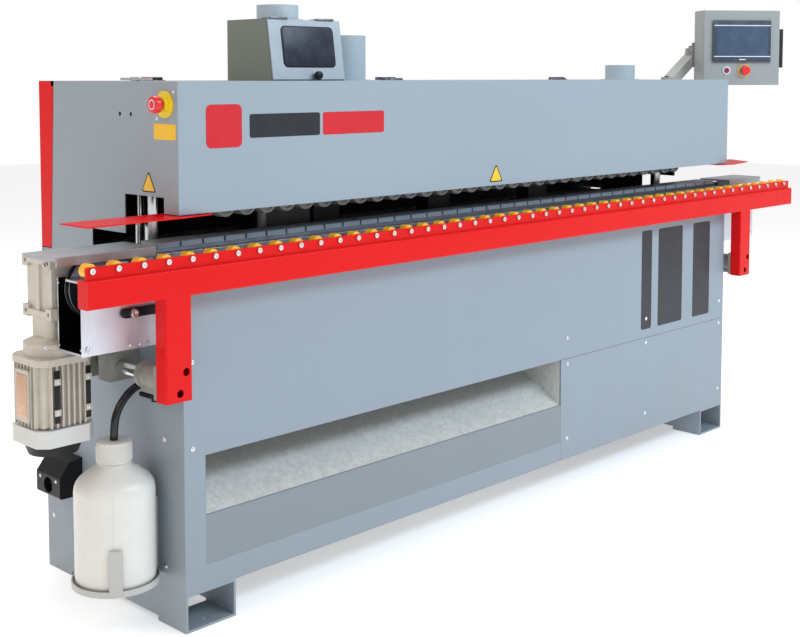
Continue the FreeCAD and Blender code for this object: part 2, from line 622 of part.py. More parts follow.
def cooling_fan():
    """Six-bladed fan on the tail of the motor shaft."""
    hub = ring((MOTOR_X, MOTOR_Y, 470.0), (0, 0, 1), 16.0, 9.0, 22.0)
    blades = []
    for index in range(6):
        blade = box(MOTOR_X + 14, MOTOR_X + 54, MOTOR_Y - 1.5, MOTOR_Y + 1.5, 472.0, 490.0)
        blade.rotate(V(MOTOR_X, MOTOR_Y, 0), V(0, 0, 1), 60.0 * index)
        blades.append(blade)
    return joined([hub] + blades)


def fan_cowl():
    """Octagonal cowl ring with the tapered, grilled end cap."""
    outer = chamfered_square(MOTOR_HALF + 2, 22.0, 458.0, MOTOR_LOW)
    inner = round_bar((MOTOR_X, MOTOR_Y, 457.0), (0, 0, 1), 62.0, 50.0)
    cap = Part.makeCone(56.0, 66.0, 27.0, V(MOTOR_X, MOTOR_Y, 431.0), V(0, 0, 1))
    hollow = Part.makeCone(53.0, 62.0, 24.5, V(MOTOR_X, MOTOR_Y, 434.0), V(0, 0, 1))
    cap = cap.cut(hollow)
    slots = []
    for index in range(7):
        y = MOTOR_Y - 38.0 + 12.0 * index
        slots.append(box(MOTOR_X - 36, MOTOR_X + 36, y, y + 4, 430.0, 435.0))
    return outer.cut(inner).fuse(cap.cut(group(slots))).removeSplitter()


def power_inlet():
    """Wall inlet with a sloping hinged lid."""
    x0 = -HALF_LENGTH - 65.0
    y0 = 130.0
    y1 = 240.0
    outline = [(-HALF_LENGTH, 227.0), (x0, 227.0), (x0, 280.0), (x0 + 28, 316.0), (-HALF_LENGTH, 322.0)]
    shape = prism([(x, y0, z) for x, z in outline], (0, y1 - y0, 0))
    edges = [e for e in shape.Edges if e.BoundBox.YLength > 50 and e.BoundBox.XMax < -HALF_LENGTH - 5]
    shape = shape.makeFillet(6.0, edges)
    socket = round_bar((x0 - 1, 185.0, 254.0), (1, 0, 0), 20.0, 30.0)
    pin_bars = [round_bar((x0 + 10, 185.0 + dy, 254.0 + dz), (1, 0, 0), 2.5, 20.0)
                for dy, dz in ((-9, 0), (9, 0), (0, 9), (0, -9))]
    return shape.cut(socket).multiFuse(pin_bars)


def bottle():
    """Blown bottle, hollow, with a shoulder and a neck."""
    low = BOTTLE_LOW
    outer = [(0, low), (BOTTLE_RADIUS - 12, low), (BOTTLE_RADIUS - 3, low + 4), (BOTTLE_RADIUS, low + 14),
             (BOTTLE_RADIUS, 346.0), (BOTTLE_RADIUS - 6, 362.0), (BOTTLE_RADIUS - 24, 377.0),
             (46.0, 390.0), (37.0, 398.0), (37.0, 440.0)]
    inner = [(34.5, 440.0), (34.5, 400.0), (44.0, 387.5), (BOTTLE_RADIUS - 26, 374.0),
             (BOTTLE_RADIUS - 8.5, 360.0), (BOTTLE_RADIUS - 2.5, 345.0), (BOTTLE_RADIUS - 2.5, low + 15),
             (BOTTLE_RADIUS - 6, low + 6), (BOTTLE_RADIUS - 13, low + 2.5), (0, low + 2.5)]
    return turned(outer + inner, (BOTTLE_X, BOTTLE_Y))


def bottle_cap():
    """Screw cap with knurling round the skirt."""
    x, y = BOTTLE_X, BOTTLE_Y
    cap = ring((x, y, 402.0), (0, 0, 1), 41.0, 37.3, 40.0)
    lid = round_bar((x, y, 440.2), (0, 0, 1), 41.0, CAP_TOP - 440.2)
    shape = cap.fuse(lid)
    ribs = []
    for index in range(36):
        rib = box(x + 40.5, x + 42.2, y - 1.2, y + 1.2, 406.0, CAP_TOP - 4)
        rib.rotate(V(x, y, 0), V(0, 0, 1), 10.0 * index)
        ribs.append(rib)
    return shape.multiFuse(ribs).removeSplitter()


def bottle_holder():
    """Wall bracket: back plate, ring shelf with a lip, and an outer strap."""
    x, y = BOTTLE_X, BOTTLE_Y
    shelf = round_bar((x, y, BOTTLE_LOW - 5), (0, 0, 1), BOTTLE_RADIUS + 8, 5.0)
    lip = ring((x, y, BOTTLE_LOW), (0, 0, 1), BOTTLE_RADIUS + 8, BOTTLE_RADIUS + 4.5, 9.0)
    plate = box(-HALF_LENGTH - 5, -HALF_LENGTH, y - 22, y + 22, BOTTLE_LOW - 5, 300.0)
    strap_low = box(x + BOTTLE_RADIUS + 4.5, x + BOTTLE_RADIUS + 8, y - 15, y + 15, BOTTLE_LOW, 225.0)
    strap_low.rotate(V(x, y, 0), V(0, 0, 1), 237.0)
    tie = box(x + BOTTLE_RADIUS, -HALF_LENGTH, y - 22, y + 22, BOTTLE_LOW - 5, BOTTLE_LOW)
    return joined([shelf, lip, plate, strap_low, tie])


def hose_route():
    """Corner points of the hose's path from the cap's top into the cabinet's end."""
    run = 40.0
    points = [(BOTTLE_X, BOTTLE_Y, CAP_TOP)]
    for turn in (0.0, 22.5, 45.0, 67.5, 90.0):
        x, y, z = points[-1]
        angle = math.radians(turn)
        points.append((x + run * math.sin(angle), y - 1.0, z + run * math.cos(angle)))
    x, y, z = points[-1]
    level = points[-2]
    points[-1] = (x, level[1], level[2])
    return points


def rounded_path(points):
    """Straight runs joined by tangent arcs, as a wire."""
    corners = [V(*point) for point in points]
    edges = []
    start = corners[0]
    for before, corner, after in zip(corners, corners[1:], corners[2:]):
        back = (before - corner).normalize()
        ahead = (after - corner).normalize()
        reach = 0.45 * min((before - corner).Length, (after - corner).Length)
        half_turn = (math.pi - back.getAngle(ahead)) / 2
        radius = reach / math.tan(half_turn)
        bisector = (back + ahead).normalize()
        centre = corner + bisector * math.hypot(radius, reach)
        first = corner + back * reach
        last = corner + ahead * reach
        middle = centre - bisector * radius
        print("hose arc radius", round(radius, 1))
        edges.append(Part.LineSegment(start, first).toShape())
        edges.append(Part.Arc(first, middle, last).toShape())
        start = last
    edges.append(Part.LineSegment(start, corners[-1]).toShape())
    return Part.Wire(edges)


def spray_hose():
    """Flexible hose from the bottle's cap into the cabinet."""
    route = hose_route()
    path = rounded_path(route)
    circle = Part.Wire(Part.makeCircle(HOSE_RADIUS, V(*route[0]), V(0, 0, 1)))
    return path.makePipeShell([circle], True, True)


def pressure_beam():
    """Upper beam: box extrusion, roller web, axle bolts, and the carriage at each column."""
    x0, x1, y0, y1, z0, z1 = PRESS_BEAM
    beam = box(x0, x1, y0, y1, z0, z1)
    for gy in (y0, y1 - 6):
        beam = beam.cut(box(x0 - 1, x1 + 1, gy - 0.1, gy + 6.1, z0 + 44, z0 + 56))
    beam = beam.cut(box(x0 - 1, x1 + 1, y0 + 12, y1 - 12, z0 + 12, z1 - 12))
    web = box(x0, x1, -142.0, y1, PRESS_Z - 20, z0)
    axles = []
    for index in range(PRESS_COUNT):
        x = PRESS_START + PRESS_PITCH * index
        axles.append(round_bar((x, -186.0, PRESS_Z), (0, 1, 0), PRESS_AXLE, 45.0))
        axles.append(round_bar((x, -190.0, PRESS_Z), (0, 1, 0), PRESS_AXLE + 4, 4.5))
    shape = joined([beam, web] + axles)
    carriages = []
    for side in (-1, 1):
        inner = x0 if side < 0 else x1
        outer = side * (COLUMN_X + 32.0)
        low, high = sorted((inner, outer))
        arm = box(low, high, y0, y1, z0, z1)
        block_low, block_high = sorted((side * (COLUMN_X - 32.0), outer))
        block = box(block_low, block_high, y1, SCREW_Y + 26, z0, z1)
        carriages.append(arm.fuse(block))
    shape = joined([shape] + carriages)
    for x in (-COLUMN_X, COLUMN_X):
        bore = COLUMN_RADIUS + RUNNING_GAP
        shape = shape.cut(round_bar((x, COLUMN_Y, z0 - 1), (0, 0, 1), bore, z1 - z0 + 2))
        shape = shape.cut(round_bar((x, SCREW_Y, z0 - 1), (0, 0, 1), SCREW_RADIUS + RUNNING_GAP, z1 - z0 + 2))
    return shape


def pressure_roller(x):
    """One rubber-tyred pressure roller on its axle bolt."""
    radius = PRESS_RADIUS
    wheel = round_bar((x, -184.0, PRESS_Z), (0, 1, 0), radius, 38.0)
    wheel = wheel.makeFillet(2.0, [e for e in wheel.Edges if abs(e.Length - 2 * math.pi * radius) < 1])
    wheel = wheel.cut(ring((x, -185.0, PRESS_Z), (0, 1, 0), radius - 8, 15.0, 5.0))
    return wheel.cut(round_bar((x, -190.0, PRESS_Z), (0, 1, 0), PRESS_AXLE + RUNNING_GAP, 50.0))


def hand_guards():
    """Thin tapered guard plates that hang off the pressure beam at the infeed and the outfeed."""
    z1 = PRESS_Z - 3.0
    infeed = [(-1444.0, -217.0), (-1442.0, -322.0), (-1190.0, -310.0), (-1100.0, -296.0), (-1100.0, -190.5),
              (-1190.0, -210.0)]
    outfeed = [(1436.0, -180.0), (1370.0, -290.0), (1215.0, -322.0), (1150.0, -300.0), (1150.0, -190.5),
               (1215.0, -190.5)]
    plates = []
    for outline, post in ((infeed, -1120.0), (outfeed, 1160.0)):
        plate = prism([(x, y, z1 - 3) for x, y in outline], (0, 0, 3))
        hanger = box(post, post + 14, -194.0, -190.5, z1, 1060.0)
        foot_strip = box(post, post + 14, -222.0, -190.5, z1, z1 + 3)
        plates.append(joined([plate, hanger, foot_strip]))
    return group(plates)


def height_screw():
    """Left lead screw with its flat setting lever on the roof."""
    screw = round_bar((-COLUMN_X, SCREW_Y, 850.0), (0, 0, 1), SCREW_RADIUS, 416.0)
    hub = round_bar((-COLUMN_X, SCREW_Y, HOOD_TOP + 1), (0, 0, 1), 15.0, 9.0)
    lever = box(-COLUMN_X - 9, -COLUMN_X + 9, SCREW_Y - 62, SCREW_Y + 62, HOOD_TOP + 2, HOOD_TOP + 8)
    edges = [e for e in lever.Edges if e.BoundBox.ZLength > 5]
    lever = lever.makeFillet(8.5, edges)
    shape = joined([screw, hub, lever])
    drive = prism([(-COLUMN_X + 6 * math.cos(math.radians(a)), SCREW_Y + 6 * math.sin(math.radians(a)),
                    HOOD_TOP + 5) for a in range(0, 360, 60)], (0, 0, 8))
    return shape.cut(drive)


def support_rail():
    """Red operator-side rail: box tube, roller strip and two hollow legs, welded together."""
    wall = RAIL_WALL
    tube = box(RAIL_LEFT, RAIL_RIGHT, RAIL_FRONT, RAIL_REAR, RAIL_LOW, RAIL_TOP)
    tube = tube.makeFillet(4.0, [e for e in tube.Edges if e.BoundBox.XLength > 100])
    hollow = box(RAIL_LEFT + wall, RAIL_RIGHT - wall, RAIL_FRONT + wall, RAIL_REAR - wall,
                 RAIL_LOW + wall, RAIL_TOP - wall)
    tube = tube.cut(hollow)
    strip_rear = STRIP_FRONT + STRIP_THICKNESS
    strip = box(RAIL_LEFT + 3, RAIL_RIGHT - 3, STRIP_FRONT, strip_rear, RAIL_TOP, STRIP_TOP)
    legs = []
    for x in (-LEG_X, LEG_X):
        x0 = x - LEG_WIDTH / 2
        x1 = x + LEG_WIDTH / 2
        leg = box(x0, x1, RAIL_FRONT, RAIL_REAR, LEG_LOW, RAIL_LOW + 6)
        leg = leg.makeFillet(4.0, [e for e in leg.Edges if e.BoundBox.ZLength > 100])
        hollow = box(x0 + wall, x1 - wall, RAIL_FRONT + wall, RAIL_REAR - wall, LEG_LOW + wall, RAIL_LOW)
        leg = leg.cut(hollow)
        for dx, dz in ((19.0, 22.0), (2.0, -24.0)):
            hole = round_bar((x + dx, RAIL_FRONT - 1, ROD_Z + dz), (0, 1, 0), 9.0, 20.0)
            leg = leg.cut(hole)
        legs.append(leg)
    shape = joined([tube, strip] + legs)
    bores = []
    for index in range(ROLLER_COUNT):
        x = ROLLER_START + ROLLER_PITCH * index
        bores.append(round_bar((x, STRIP_FRONT - 1, ROLLER_Z), (0, 1, 0), ROLLER_BOLT, 6.0))
    return shape.cut(group(bores))


def roller_bolts():
    """Shoulder bolts that carry the support rollers."""
    bolts = []
    for index in range(ROLLER_COUNT):
        x = ROLLER_START + ROLLER_PITCH * index
        shank = round_bar((x, STRIP_FRONT - 1, ROLLER_Z), (0, 1, 0), ROLLER_BOLT, 28.0)
        head = round_bar((x, STRIP_FRONT, ROLLER_Z), (0, -1, 0), 6.5, 5.0)
        socket = round_bar((x, STRIP_FRONT - 3, ROLLER_Z), (0, -1, 0), 2.8, 4.0)
        bolts.append(shank.fuse(head).cut(socket))
    return group(bolts)


def support_roller(index):
    """One roller of the operator-side strip."""
    x = ROLLER_START + ROLLER_PITCH * index
    y0 = STRIP_FRONT + STRIP_THICKNESS + 0.5
    wheel = round_bar((x, y0, ROLLER_Z), (0, 1, 0), ROLLER_RADIUS, 22.0)
    wheel = wheel.makeFillet(1.5, [e for e in wheel.Edges if abs(e.Length - 2 * math.pi * ROLLER_RADIUS) < 1])
    return wheel.cut(round_bar((x, y0 - 1, ROLLER_Z), (0, 1, 0), ROLLER_BOLT + RUNNING_GAP, 24.0))


def rail_rods():
    """Two chromed rods that carry the support rail."""
    length = ROD_REAR - RAIL_REAR
    return group([round_bar((x, RAIL_REAR, ROD_Z), (0, 1, 0), ROD_RADIUS, length) for x in (-LEG_X, LEG_X)])


def rod_holders():
    """Flanged castings that bolt the rods to the legs."""
    holders = []
    for x in (-LEG_X, LEG_X):
        barrel = round_bar((x, RAIL_REAR, ROD_Z), (0, 1, 0), 27.0, 92.0)
        flange = box(x - 34, x + 34, RAIL_REAR, RAIL_REAR + 9, ROD_Z - 40, ROD_Z + 36)
        ear_left = box(x - 12, x - 2, RAIL_REAR + 9, RAIL_REAR + 92, ROD_Z - 38, ROD_Z - 16)
        ear_right = box(x + 2, x + 12, RAIL_REAR + 9, RAIL_REAR + 92, ROD_Z - 38, ROD_Z - 16)
        rim = round_bar((x, RAIL_REAR + 80, ROD_Z), (0, 1, 0), 31.0, 12.0)
        shape = joined([barrel, flange, ear_left, ear_right, rim])
        shape = shape.cut(round_bar((x, RAIL_REAR - 1, ROD_Z), (0, 1, 0), ROD_RADIUS, 96.0))
        holders.append(shape)
    return group(holders)


def clamp_lever():
    """Short flat lever that pinches the left holder's ears, on a vertical pin."""
    x = -LEG_X
    y = RAIL_REAR + 50
    boss = round_bar((x, y, ROD_Z - 56), (0, 0, 1), 11.0, 16.0)
    arm = box(x - 5, x + 5, y - 2, y + 62, ROD_Z - 53, ROD_Z - 45)
    edges = [e for e in arm.Edges if e.BoundBox.ZLength > 5]
    arm = arm.makeFillet(4.5, edges)
    return boss.fuse(arm)


def rod_guides():
    """Linear guide blocks on the cabinet's ends, two for each rod."""
    blocks = []
    for side in (-1, 1):
        x = side * LEG_X
        x0, x1 = sorted((side * HALF_LENGTH, side * (LEG_X + 32)))
        for y0 in (-128.0, -48.0):
            block = box(x0, x1, y0, y0 + 44, ROD_Z - 32, ROD_Z + 32)
            block = block.cut(round_bar((x, y0 - 1, ROD_Z), (0, 1, 0), ROD_RADIUS + RUNNING_GAP, 46.0))
            blocks.append(block)
    return group(blocks)


def glue_profile(inset):
    """Side outline of the glue box, moved inwards by an inset."""
    return [(GLUE_FRONT_LOW + inset, HOOD_TOP + inset), (GLUE_REAR - inset, HOOD_TOP + inset),
            (GLUE_REAR - inset, GLUE_TOP - inset), (GLUE_FRONT_TOP + inset, GLUE_TOP - inset)]


def glue_box():
    """Glue granulate box with an open, sloping front."""
    shell = prism([(GLUE_LEFT, y, z) for y, z in glue_profile(0)], (GLUE_RIGHT - GLUE_LEFT, 0, 0))
    hollow = prism([(GLUE_LEFT + 2, y, z) for y, z in glue_profile(2)], (GLUE_RIGHT - GLUE_LEFT - 4, 0, 0))
    opening = box(GLUE_LEFT + 14, GLUE_RIGHT - 14, GLUE_FRONT_LOW - 2, GLUE_FRONT_TOP + 8,
                  HOOD_TOP + 16, GLUE_TOP - 16)
    x, y, radius, low = PORTS[0]
    port = round_bar((x, y, low - 5), (0, 0, 1), radius - 2, 10)
    return shell.cut(hollow).cut(opening).cut(port)


def glue_door():
    """Sloping door with a window frame and a pull knob, hinged along its top edge."""
    thick = 4.0
    gap = 0.6
    low_y = GLUE_FRONT_LOW - gap
    top_y = GLUE_FRONT_TOP - gap
    outline = [(low_y, HOOD_TOP + 3), (top_y - 0.3, GLUE_TOP), (top_y - thick, GLUE_TOP),
               (low_y - thick, HOOD_TOP + 3)]
    x0, x1 = GLUE_LEFT + 1, GLUE_RIGHT - 1
    door = prism([(x0, y, z) for y, z in outline], (x1 - x0, 0, 0))
    knob_x = (x0 + x1) / 2 + 20
    knob_y = low_y - thick + 2.0
    neck = round_bar((knob_x, knob_y + 1, HOOD_TOP + 14), (0, -1, 0), 5.0, 12.0)
    grip = round_bar((knob_x, knob_y - 9, HOOD_TOP + 14), (0, -1, 0), 9.0, 12.0)
    return joined([door, neck, grip])


def to_panel(shape):
    """Place a shape built round the origin, facing -Y, at the control panel."""
    shape.rotate(V(0, 0, 0), V(0, 0, 1), PANEL_TURN)
    shape.translate(PANEL_CENTRE)
    return shape


def swivel_in_panel():
    """The swivel pin's centre in the panel's own coordinates."""
    offset = SWIVEL - PANEL_CENTRE
    turn = FreeCAD.Rotation(V(0, 0, 1), -PANEL_TURN)
    return turn.multVec(offset)


def control_box():
    """Operator panel: cabinet, screen module, side handle and the bracket to the swivel pin."""
    half_w = PANEL_WIDTH / 2
    half_h = PANEL_HEIGHT / 2
    body = box(-half_w, half_w, 0, PANEL_DEPTH, -half_h, half_h)
    body = body.makeFillet(5.0, [e for e in body.Edges if e.BoundBox.ZLength > 100])
    body = body.cut(box(2 - half_w, half_w - 2, 2, PANEL_DEPTH - 2, 2 - half_h, half_h - 2))
    bezel = box(-113, 117, -6, 0, -56, 104)
    corners = [e for e in bezel.Edges if e.BoundBox.YLength > 5 and e.BoundBox.XLength < 1]
    bezel = bezel.makeFillet(4.0, corners)
    screen = box(-98, 102, -7, -4.5, -38, 88)
    bezel = bezel.cut(screen)
    grip_x = half_w + 26
    handle = box(half_w, grip_x, 30, 42, 60, 72).multiFuse([
        box(half_w, grip_x, 30, 42, -74, -62), box(grip_x - 12, grip_x, 30, 42, -74, 72)])
    pin = swivel_in_panel()
    plate = box(pin.x - 24, pin.x + 24, PANEL_DEPTH, PANEL_DEPTH + 5, pin.z - 34, pin.z + 60)
    tongue = box(pin.x - 8, pin.x + 8, PANEL_DEPTH + 5, pin.y, pin.z + 26.5, pin.z + 40)
    eye = round_bar((pin.x, pin.y, pin.z + 26.5), (0, 0, 1), 20.0, 13.5)
    shape = joined([body, bezel, handle, plate, tongue, eye])
    shape = shape.cut(round_bar((pin.x, pin.y, pin.z + 20), (0, 0, 1), 8.0 + RUNNING_GAP, 30.0))
    for x, _, stem in PANEL_BUTTONS:
        shape = shape.cut(round_bar((x, -1, -85), (0, 1, 0), stem + 0.5, 22.0))
    collar = ring((10.0, 0, -85.0), (0, -1, 0), 22.0, 9.5, 6.0)
    start_rim = ring((-59.0, 0, -85.0), (0, -1, 0), 13.0, 9.5, 3.0)
    return to_panel(shape.multiFuse([collar, start_rim]))


# Panel buttons: place along the panel, head radius, stem radius
PANEL_BUTTONS = [(10.0, 17.0, 8.0), (-59.0, 9.0, 9.0)]


def panel_stop_button():
    """Red mushroom on the panel."""
    x, head, stem = PANEL_BUTTONS[0]
    rod = round_bar((x, 14, -85), (0, -1, 0), stem, 28.0)
    cap = round_bar((x, -12, -85), (0, -1, 0), head, 12.0)
    cap = cap.makeFillet(4.0, [e for e in cap.Edges if e.BoundBox.YMax < -20])
    return to_panel(rod.fuse(cap))


def start_button():
    """Flat push button on the panel."""
    x, head, stem = PANEL_BUTTONS[1]
    rod = round_bar((x, 14, -85), (0, -1, 0), stem, 14.0)
    cap = round_bar((x, 0, -85), (0, -1, 0), head, 7.0)
    return to_panel(rod.fuse(cap))


def panel_arm():
    """Swinging arm: pivot eye, rising square tube, and the swivel pin at its end."""
    ahead = SWIVEL - ARM_PIVOT
    flat_angle = math.degrees(math.atan2(ahead.y, ahead.x))
    rise = math.degrees(math.atan2(ahead.z, math.hypot(ahead.x, ahead.y)))
    tube = box(0, ahead.Length, -ARM_HALF, ARM_HALF, -ARM_HALF, ARM_HALF)
    hollow = box(4, ahead.Length - 4, -ARM_HALF + 3, ARM_HALF - 3, -ARM_HALF + 3, ARM_HALF - 3)
    tube = tube.cut(hollow)
    tube.rotate(V(0, 0, 0), V(0, 1, 0), -rise)
    tube.rotate(V(0, 0, 0), V(0, 0, 1), flat_angle)
    tube.translate(ARM_PIVOT)
    pivot = round_bar((ARM_PIVOT.x, ARM_PIVOT.y, ARM_PIVOT.z - 32), (0, 0, 1), 22.0, 60.0)
    seat = round_bar((SWIVEL.x, SWIVEL.y, SWIVEL.z - 26), (0, 0, 1), 22.0, 52.0)
    pin = round_bar((SWIVEL.x, SWIVEL.y, SWIVEL.z + 20), (0, 0, 1), 8.0, 30.0)
    shape = joined([tube, pivot, seat, pin])
    pin_hole = round_bar((ARM_PIVOT.x, ARM_PIVOT.y, ARM_PIVOT.z - 40), (0, 0, 1), 8.0 + RUNNING_GAP, 80.0)
    return shape.cut(pin_hole)


def arm_bracket():
    """Fork on the hood's right end that holds the arm's pivot pin."""
    x, y, z = ARM_PIVOT.x, ARM_PIVOT.y, ARM_PIVOT.z
    plate = box(HOOD_RIGHT, HOOD_RIGHT + 5, y - 30, y + 30, z - 60, z + 18)
    lower = box(HOOD_RIGHT + 5, x + 18, y - 18, y + 18, z - 42, z - 32.3)
    pin = round_bar((x, y, z - 42), (0, 0, 1), 8.0, 74.0)
    return joined([plate, lower, pin])


def side_stop_body():
    """Emergency-stop base disc on the hood's left end."""
    base = round_bar((-HALF_LENGTH, -245.0, 1212.0), (-1, 0, 0), 31.0, 4.0)
    barrel = ring((-HALF_LENGTH - 4, -245.0, 1212.0), (-1, 0, 0), 17.0, 9.5, 8.0)
    stem = round_bar((-HALF_LENGTH, -245.0, 1212.0), (1, 0, 0), 10.8, 34.0)
    shape = joined([base, barrel, stem])
    return shape.cut(round_bar((-HALF_LENGTH - 20, -245.0, 1212.0), (1, 0, 0), 8.5, 44.0))


def side_stop_button():
    """Mushroom head of the side emergency stop."""
    stem = round_bar((-HALF_LENGTH + 10, -245.0, 1212.0), (-1, 0, 0), 8.0, 34.0)
    cap = round_bar((-HALF_LENGTH - 22, -245.0, 1212.0), (-1, 0, 0), 20.0, 15.0)
    cap = cap.makeFillet(5.0, [e for e in cap.Edges if e.BoundBox.XMax < -HALF_LENGTH - 30])
    return stem.fuse(cap)


def glue_unit():
    """Glue pot and its bracket, just behind the edge line at the infeed."""
    pot = box(-760.0, -600.0, -70.0, 60.0, BODY_TOP + 40, 960.0)
    pot = pot.cut(box(-750.0, -610.0, -60.0, 50.0, BODY_TOP + 60, 961.0))
    foot_block = box(-740.0, -620.0, -20.0, 60.0, BODY_TOP, BODY_TOP + 40)
    ledge = box(-800.0, -760.0, -100.0, 20.0, BODY_TOP, BODY_TOP + 24)
    ledge = ledge.cut(round_bar((-780.0, -84.0, BODY_TOP + 9), (0, 0, 1), 8.0 + RUNNING_GAP, 20.0))
    return joined([pot, foot_block, box(-800.0, -740.0, -20.0, 20.0, BODY_TOP, BODY_TOP + 24), ledge])


def glue_roller():
    """Upright roller that carries glue to the board's edge."""
    shaft = round_bar((-780.0, -84.0, BODY_TOP + 10), (0, 0, 1), 8.0, 105.0)
    drum = round_bar((-780.0, -84.0, BODY_TOP + 34), (0, 0, 1), 15.0, 70.0)
    return shaft.fuse(drum)


def trim_unit():
    """Edge-pressing rollers' carrier and trimming motors with their brackets."""
    pieces = []
    for x in (-420.0, 60.0, 560.0):
        slab = box(x - 70, x + 70, -60.0, 120.0, BODY_TOP, BODY_TOP + 18)
        tower = box(x - 50, x + 50, 60.0, 110.0, BODY_TOP + 18, 1180.0)
        motor = round_bar((x, 10.0, 1010.0), (0, 0, 1), 45.0, 140.0)
        clamp = box(x - 30, x + 30, 30.0, 60.0, 1030.0, 1120.0)
        piece = joined([slab, tower, motor, clamp])
        pieces.append(piece.cut(round_bar((x, 10.0, 1000.0), (0, 0, 1), 8.0 + RUNNING_GAP, 60.0)))
    return group(pieces)


def trim_cutter():
    """Cutter head on the second unit's vertical spindle."""
    spindle = round_bar((60.0, 10.0, 930.0), (0, 0, 1), 8.0, 120.0)
    head = round_bar((60.0, 10.0, 930.0), (0, 0, 1), 30.0, 28.0)
    pockets = []
    for index in range(4):
        pocket = box(82.0, 100.0, 5.0, 12.0, 928.0, 960.0)
        pocket.rotate(V(60.0, 10.0, 0), V(0, 0, 1), 90.0 * index)
        pockets.append(pocket)
    return head.cut(group(pockets)).fuse(spindle)


def save(shape, name):
    shape.exportStep("parts/" + name + ".step")


def build():
    """Make every sub-part and write one file each."""
    left_foot = foot()
    nodes = {
        "base_frame": base_frame(),
        "left_foot": left_foot,
        "right_foot": mirrored(left_foot),
        "front_panel": front_panel(),
        "access_panel": access_panel(),
        "left_side_panel": side_panel(True),
        "right_side_panel": mirrored(side_panel(False)),
        "rear_panel": rear_panel(),
        "chute_tray": chute_tray(),
        "panel_screws": panel_screws(),
        "upper_hood": upper_hood(),
        "extraction_ports": extraction_ports(),
        "rear_hood": rear_hood(),
        "guide_columns": guide_columns(),
        "conveyor_beam": conveyor_beam(),
        "beam_side_plates": beam_side_plate(),
        "infeed_plate": end_plate(-1481.0, -1216.0),
        "outfeed_plate": end_plate(1331.0, 1572.0),
        "track_guide": track_guide(),
        "feed_pads": feed_pads(),
        "feed_chain": feed_chain(),
        "drive_shaft": drive_shaft(),
        "drive_sprocket": sprocket(DRIVE_X, 12.0),
        "idler_sprocket": idler_sprocket(),
        "worm_wheel": worm_wheel(),
        "gearbox_housing": gearbox_housing(),
        "motor_housing": motor_housing(),
        "worm_shaft": worm_shaft(),
        "cooling_fan": cooling_fan(),
        "fan_cowl": fan_cowl(),
        "power_inlet": power_inlet(),
        "bottle": bottle(),
        "bottle_cap": bottle_cap(),
        "bottle_holder": bottle_holder(),
        "spray_hose": spray_hose(),
        "pressure_beam": pressure_beam(),
        "pressure_roller_first": pressure_roller(PRESS_START),
        "hand_guards": hand_guards(),
        "height_screw": height_screw(),
        "support_rail": support_rail(),
        "roller_bolts": roller_bolts(),
        "support_roller_first": support_roller(0),
        "rail_rods": rail_rods(),
        "rod_holders": rod_holders(),
        "clamp_lever": clamp_lever(),
        "rod_guides": rod_guides(),
        "glue_box": glue_box(),
        "glue_door": glue_door(),
        "control_box": control_box(),
        "panel_stop_button": panel_stop_button(),
        "start_button": start_button(),
        "panel_arm": panel_arm(),
        "side_stop_body": side_stop_body(),
        "side_stop_button": side_stop_button(),
        "glue_unit": glue_unit(),
        "glue_roller": glue_roller(),
        "trim_unit": trim_unit(),
        "trim_cutter": trim_cutter(),
    }
    nodes["pressure_rollers"] = group([pressure_roller(PRESS_START + PRESS_PITCH * i)
                                       for i in range(1, PRESS_COUNT)])
    nodes["support_rollers"] = group([support_roller(i) for i in range(1, ROLLER_COUNT)])
    for name, shape in nodes.items():
        save(shape, name)
        kinds = len(shape.Solids)
        print(name, "valid" if shape.isValid() else "INVALID", kinds, round(shape.Volume / 1e6, 3))
    print(len(nodes), "nodes")


build()
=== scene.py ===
import json
import math

import bmesh
import bpy
from mathutils import Matrix, Vector


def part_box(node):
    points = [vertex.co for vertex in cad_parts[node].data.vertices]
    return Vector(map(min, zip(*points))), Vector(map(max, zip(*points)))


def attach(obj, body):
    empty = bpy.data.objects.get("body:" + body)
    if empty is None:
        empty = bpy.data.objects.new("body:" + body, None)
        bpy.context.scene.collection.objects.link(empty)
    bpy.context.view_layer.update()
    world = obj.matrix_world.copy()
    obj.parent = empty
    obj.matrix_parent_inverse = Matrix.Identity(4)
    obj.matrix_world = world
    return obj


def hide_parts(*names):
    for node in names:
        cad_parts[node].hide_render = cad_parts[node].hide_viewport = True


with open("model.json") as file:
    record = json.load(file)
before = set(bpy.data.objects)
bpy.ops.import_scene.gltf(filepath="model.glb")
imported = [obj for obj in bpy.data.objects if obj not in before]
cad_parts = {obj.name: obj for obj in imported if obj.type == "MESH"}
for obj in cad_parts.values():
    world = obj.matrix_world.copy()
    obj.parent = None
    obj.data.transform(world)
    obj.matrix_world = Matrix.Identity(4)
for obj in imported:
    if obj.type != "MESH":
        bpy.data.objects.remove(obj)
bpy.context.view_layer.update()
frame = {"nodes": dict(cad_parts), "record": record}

# Edge banding machine. Metres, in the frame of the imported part: +X is the feed direction, -Y is
# the operator's side and +Z is up.

# Directions that a flat piece can face, as (right, up) seen by someone looking at it
FRONT = ((1, 0, 0), (0, 0, 1))
LEFT = ((0, -1, 0), (0, 0, 1))
TOP = ((1, 0, 0), (0, 1, 0))

HOOD_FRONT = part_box("upper_hood")[0].y
CABINET_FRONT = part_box("front_panel")[0].y
CABINET_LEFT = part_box("left_side_panel")[0].x
ROOF = 1.264
RECORD_JOINTS = frame["record"]["behaviour"]["joints"]

# Centre of the operator panel's case and its turn about the vertical
PANEL_CENTRE = Vector((1.460, -0.206, 1.383))
PANEL_TURN = math.radians(-38.7)
PANEL_HALF_WIDTH = 0.1503

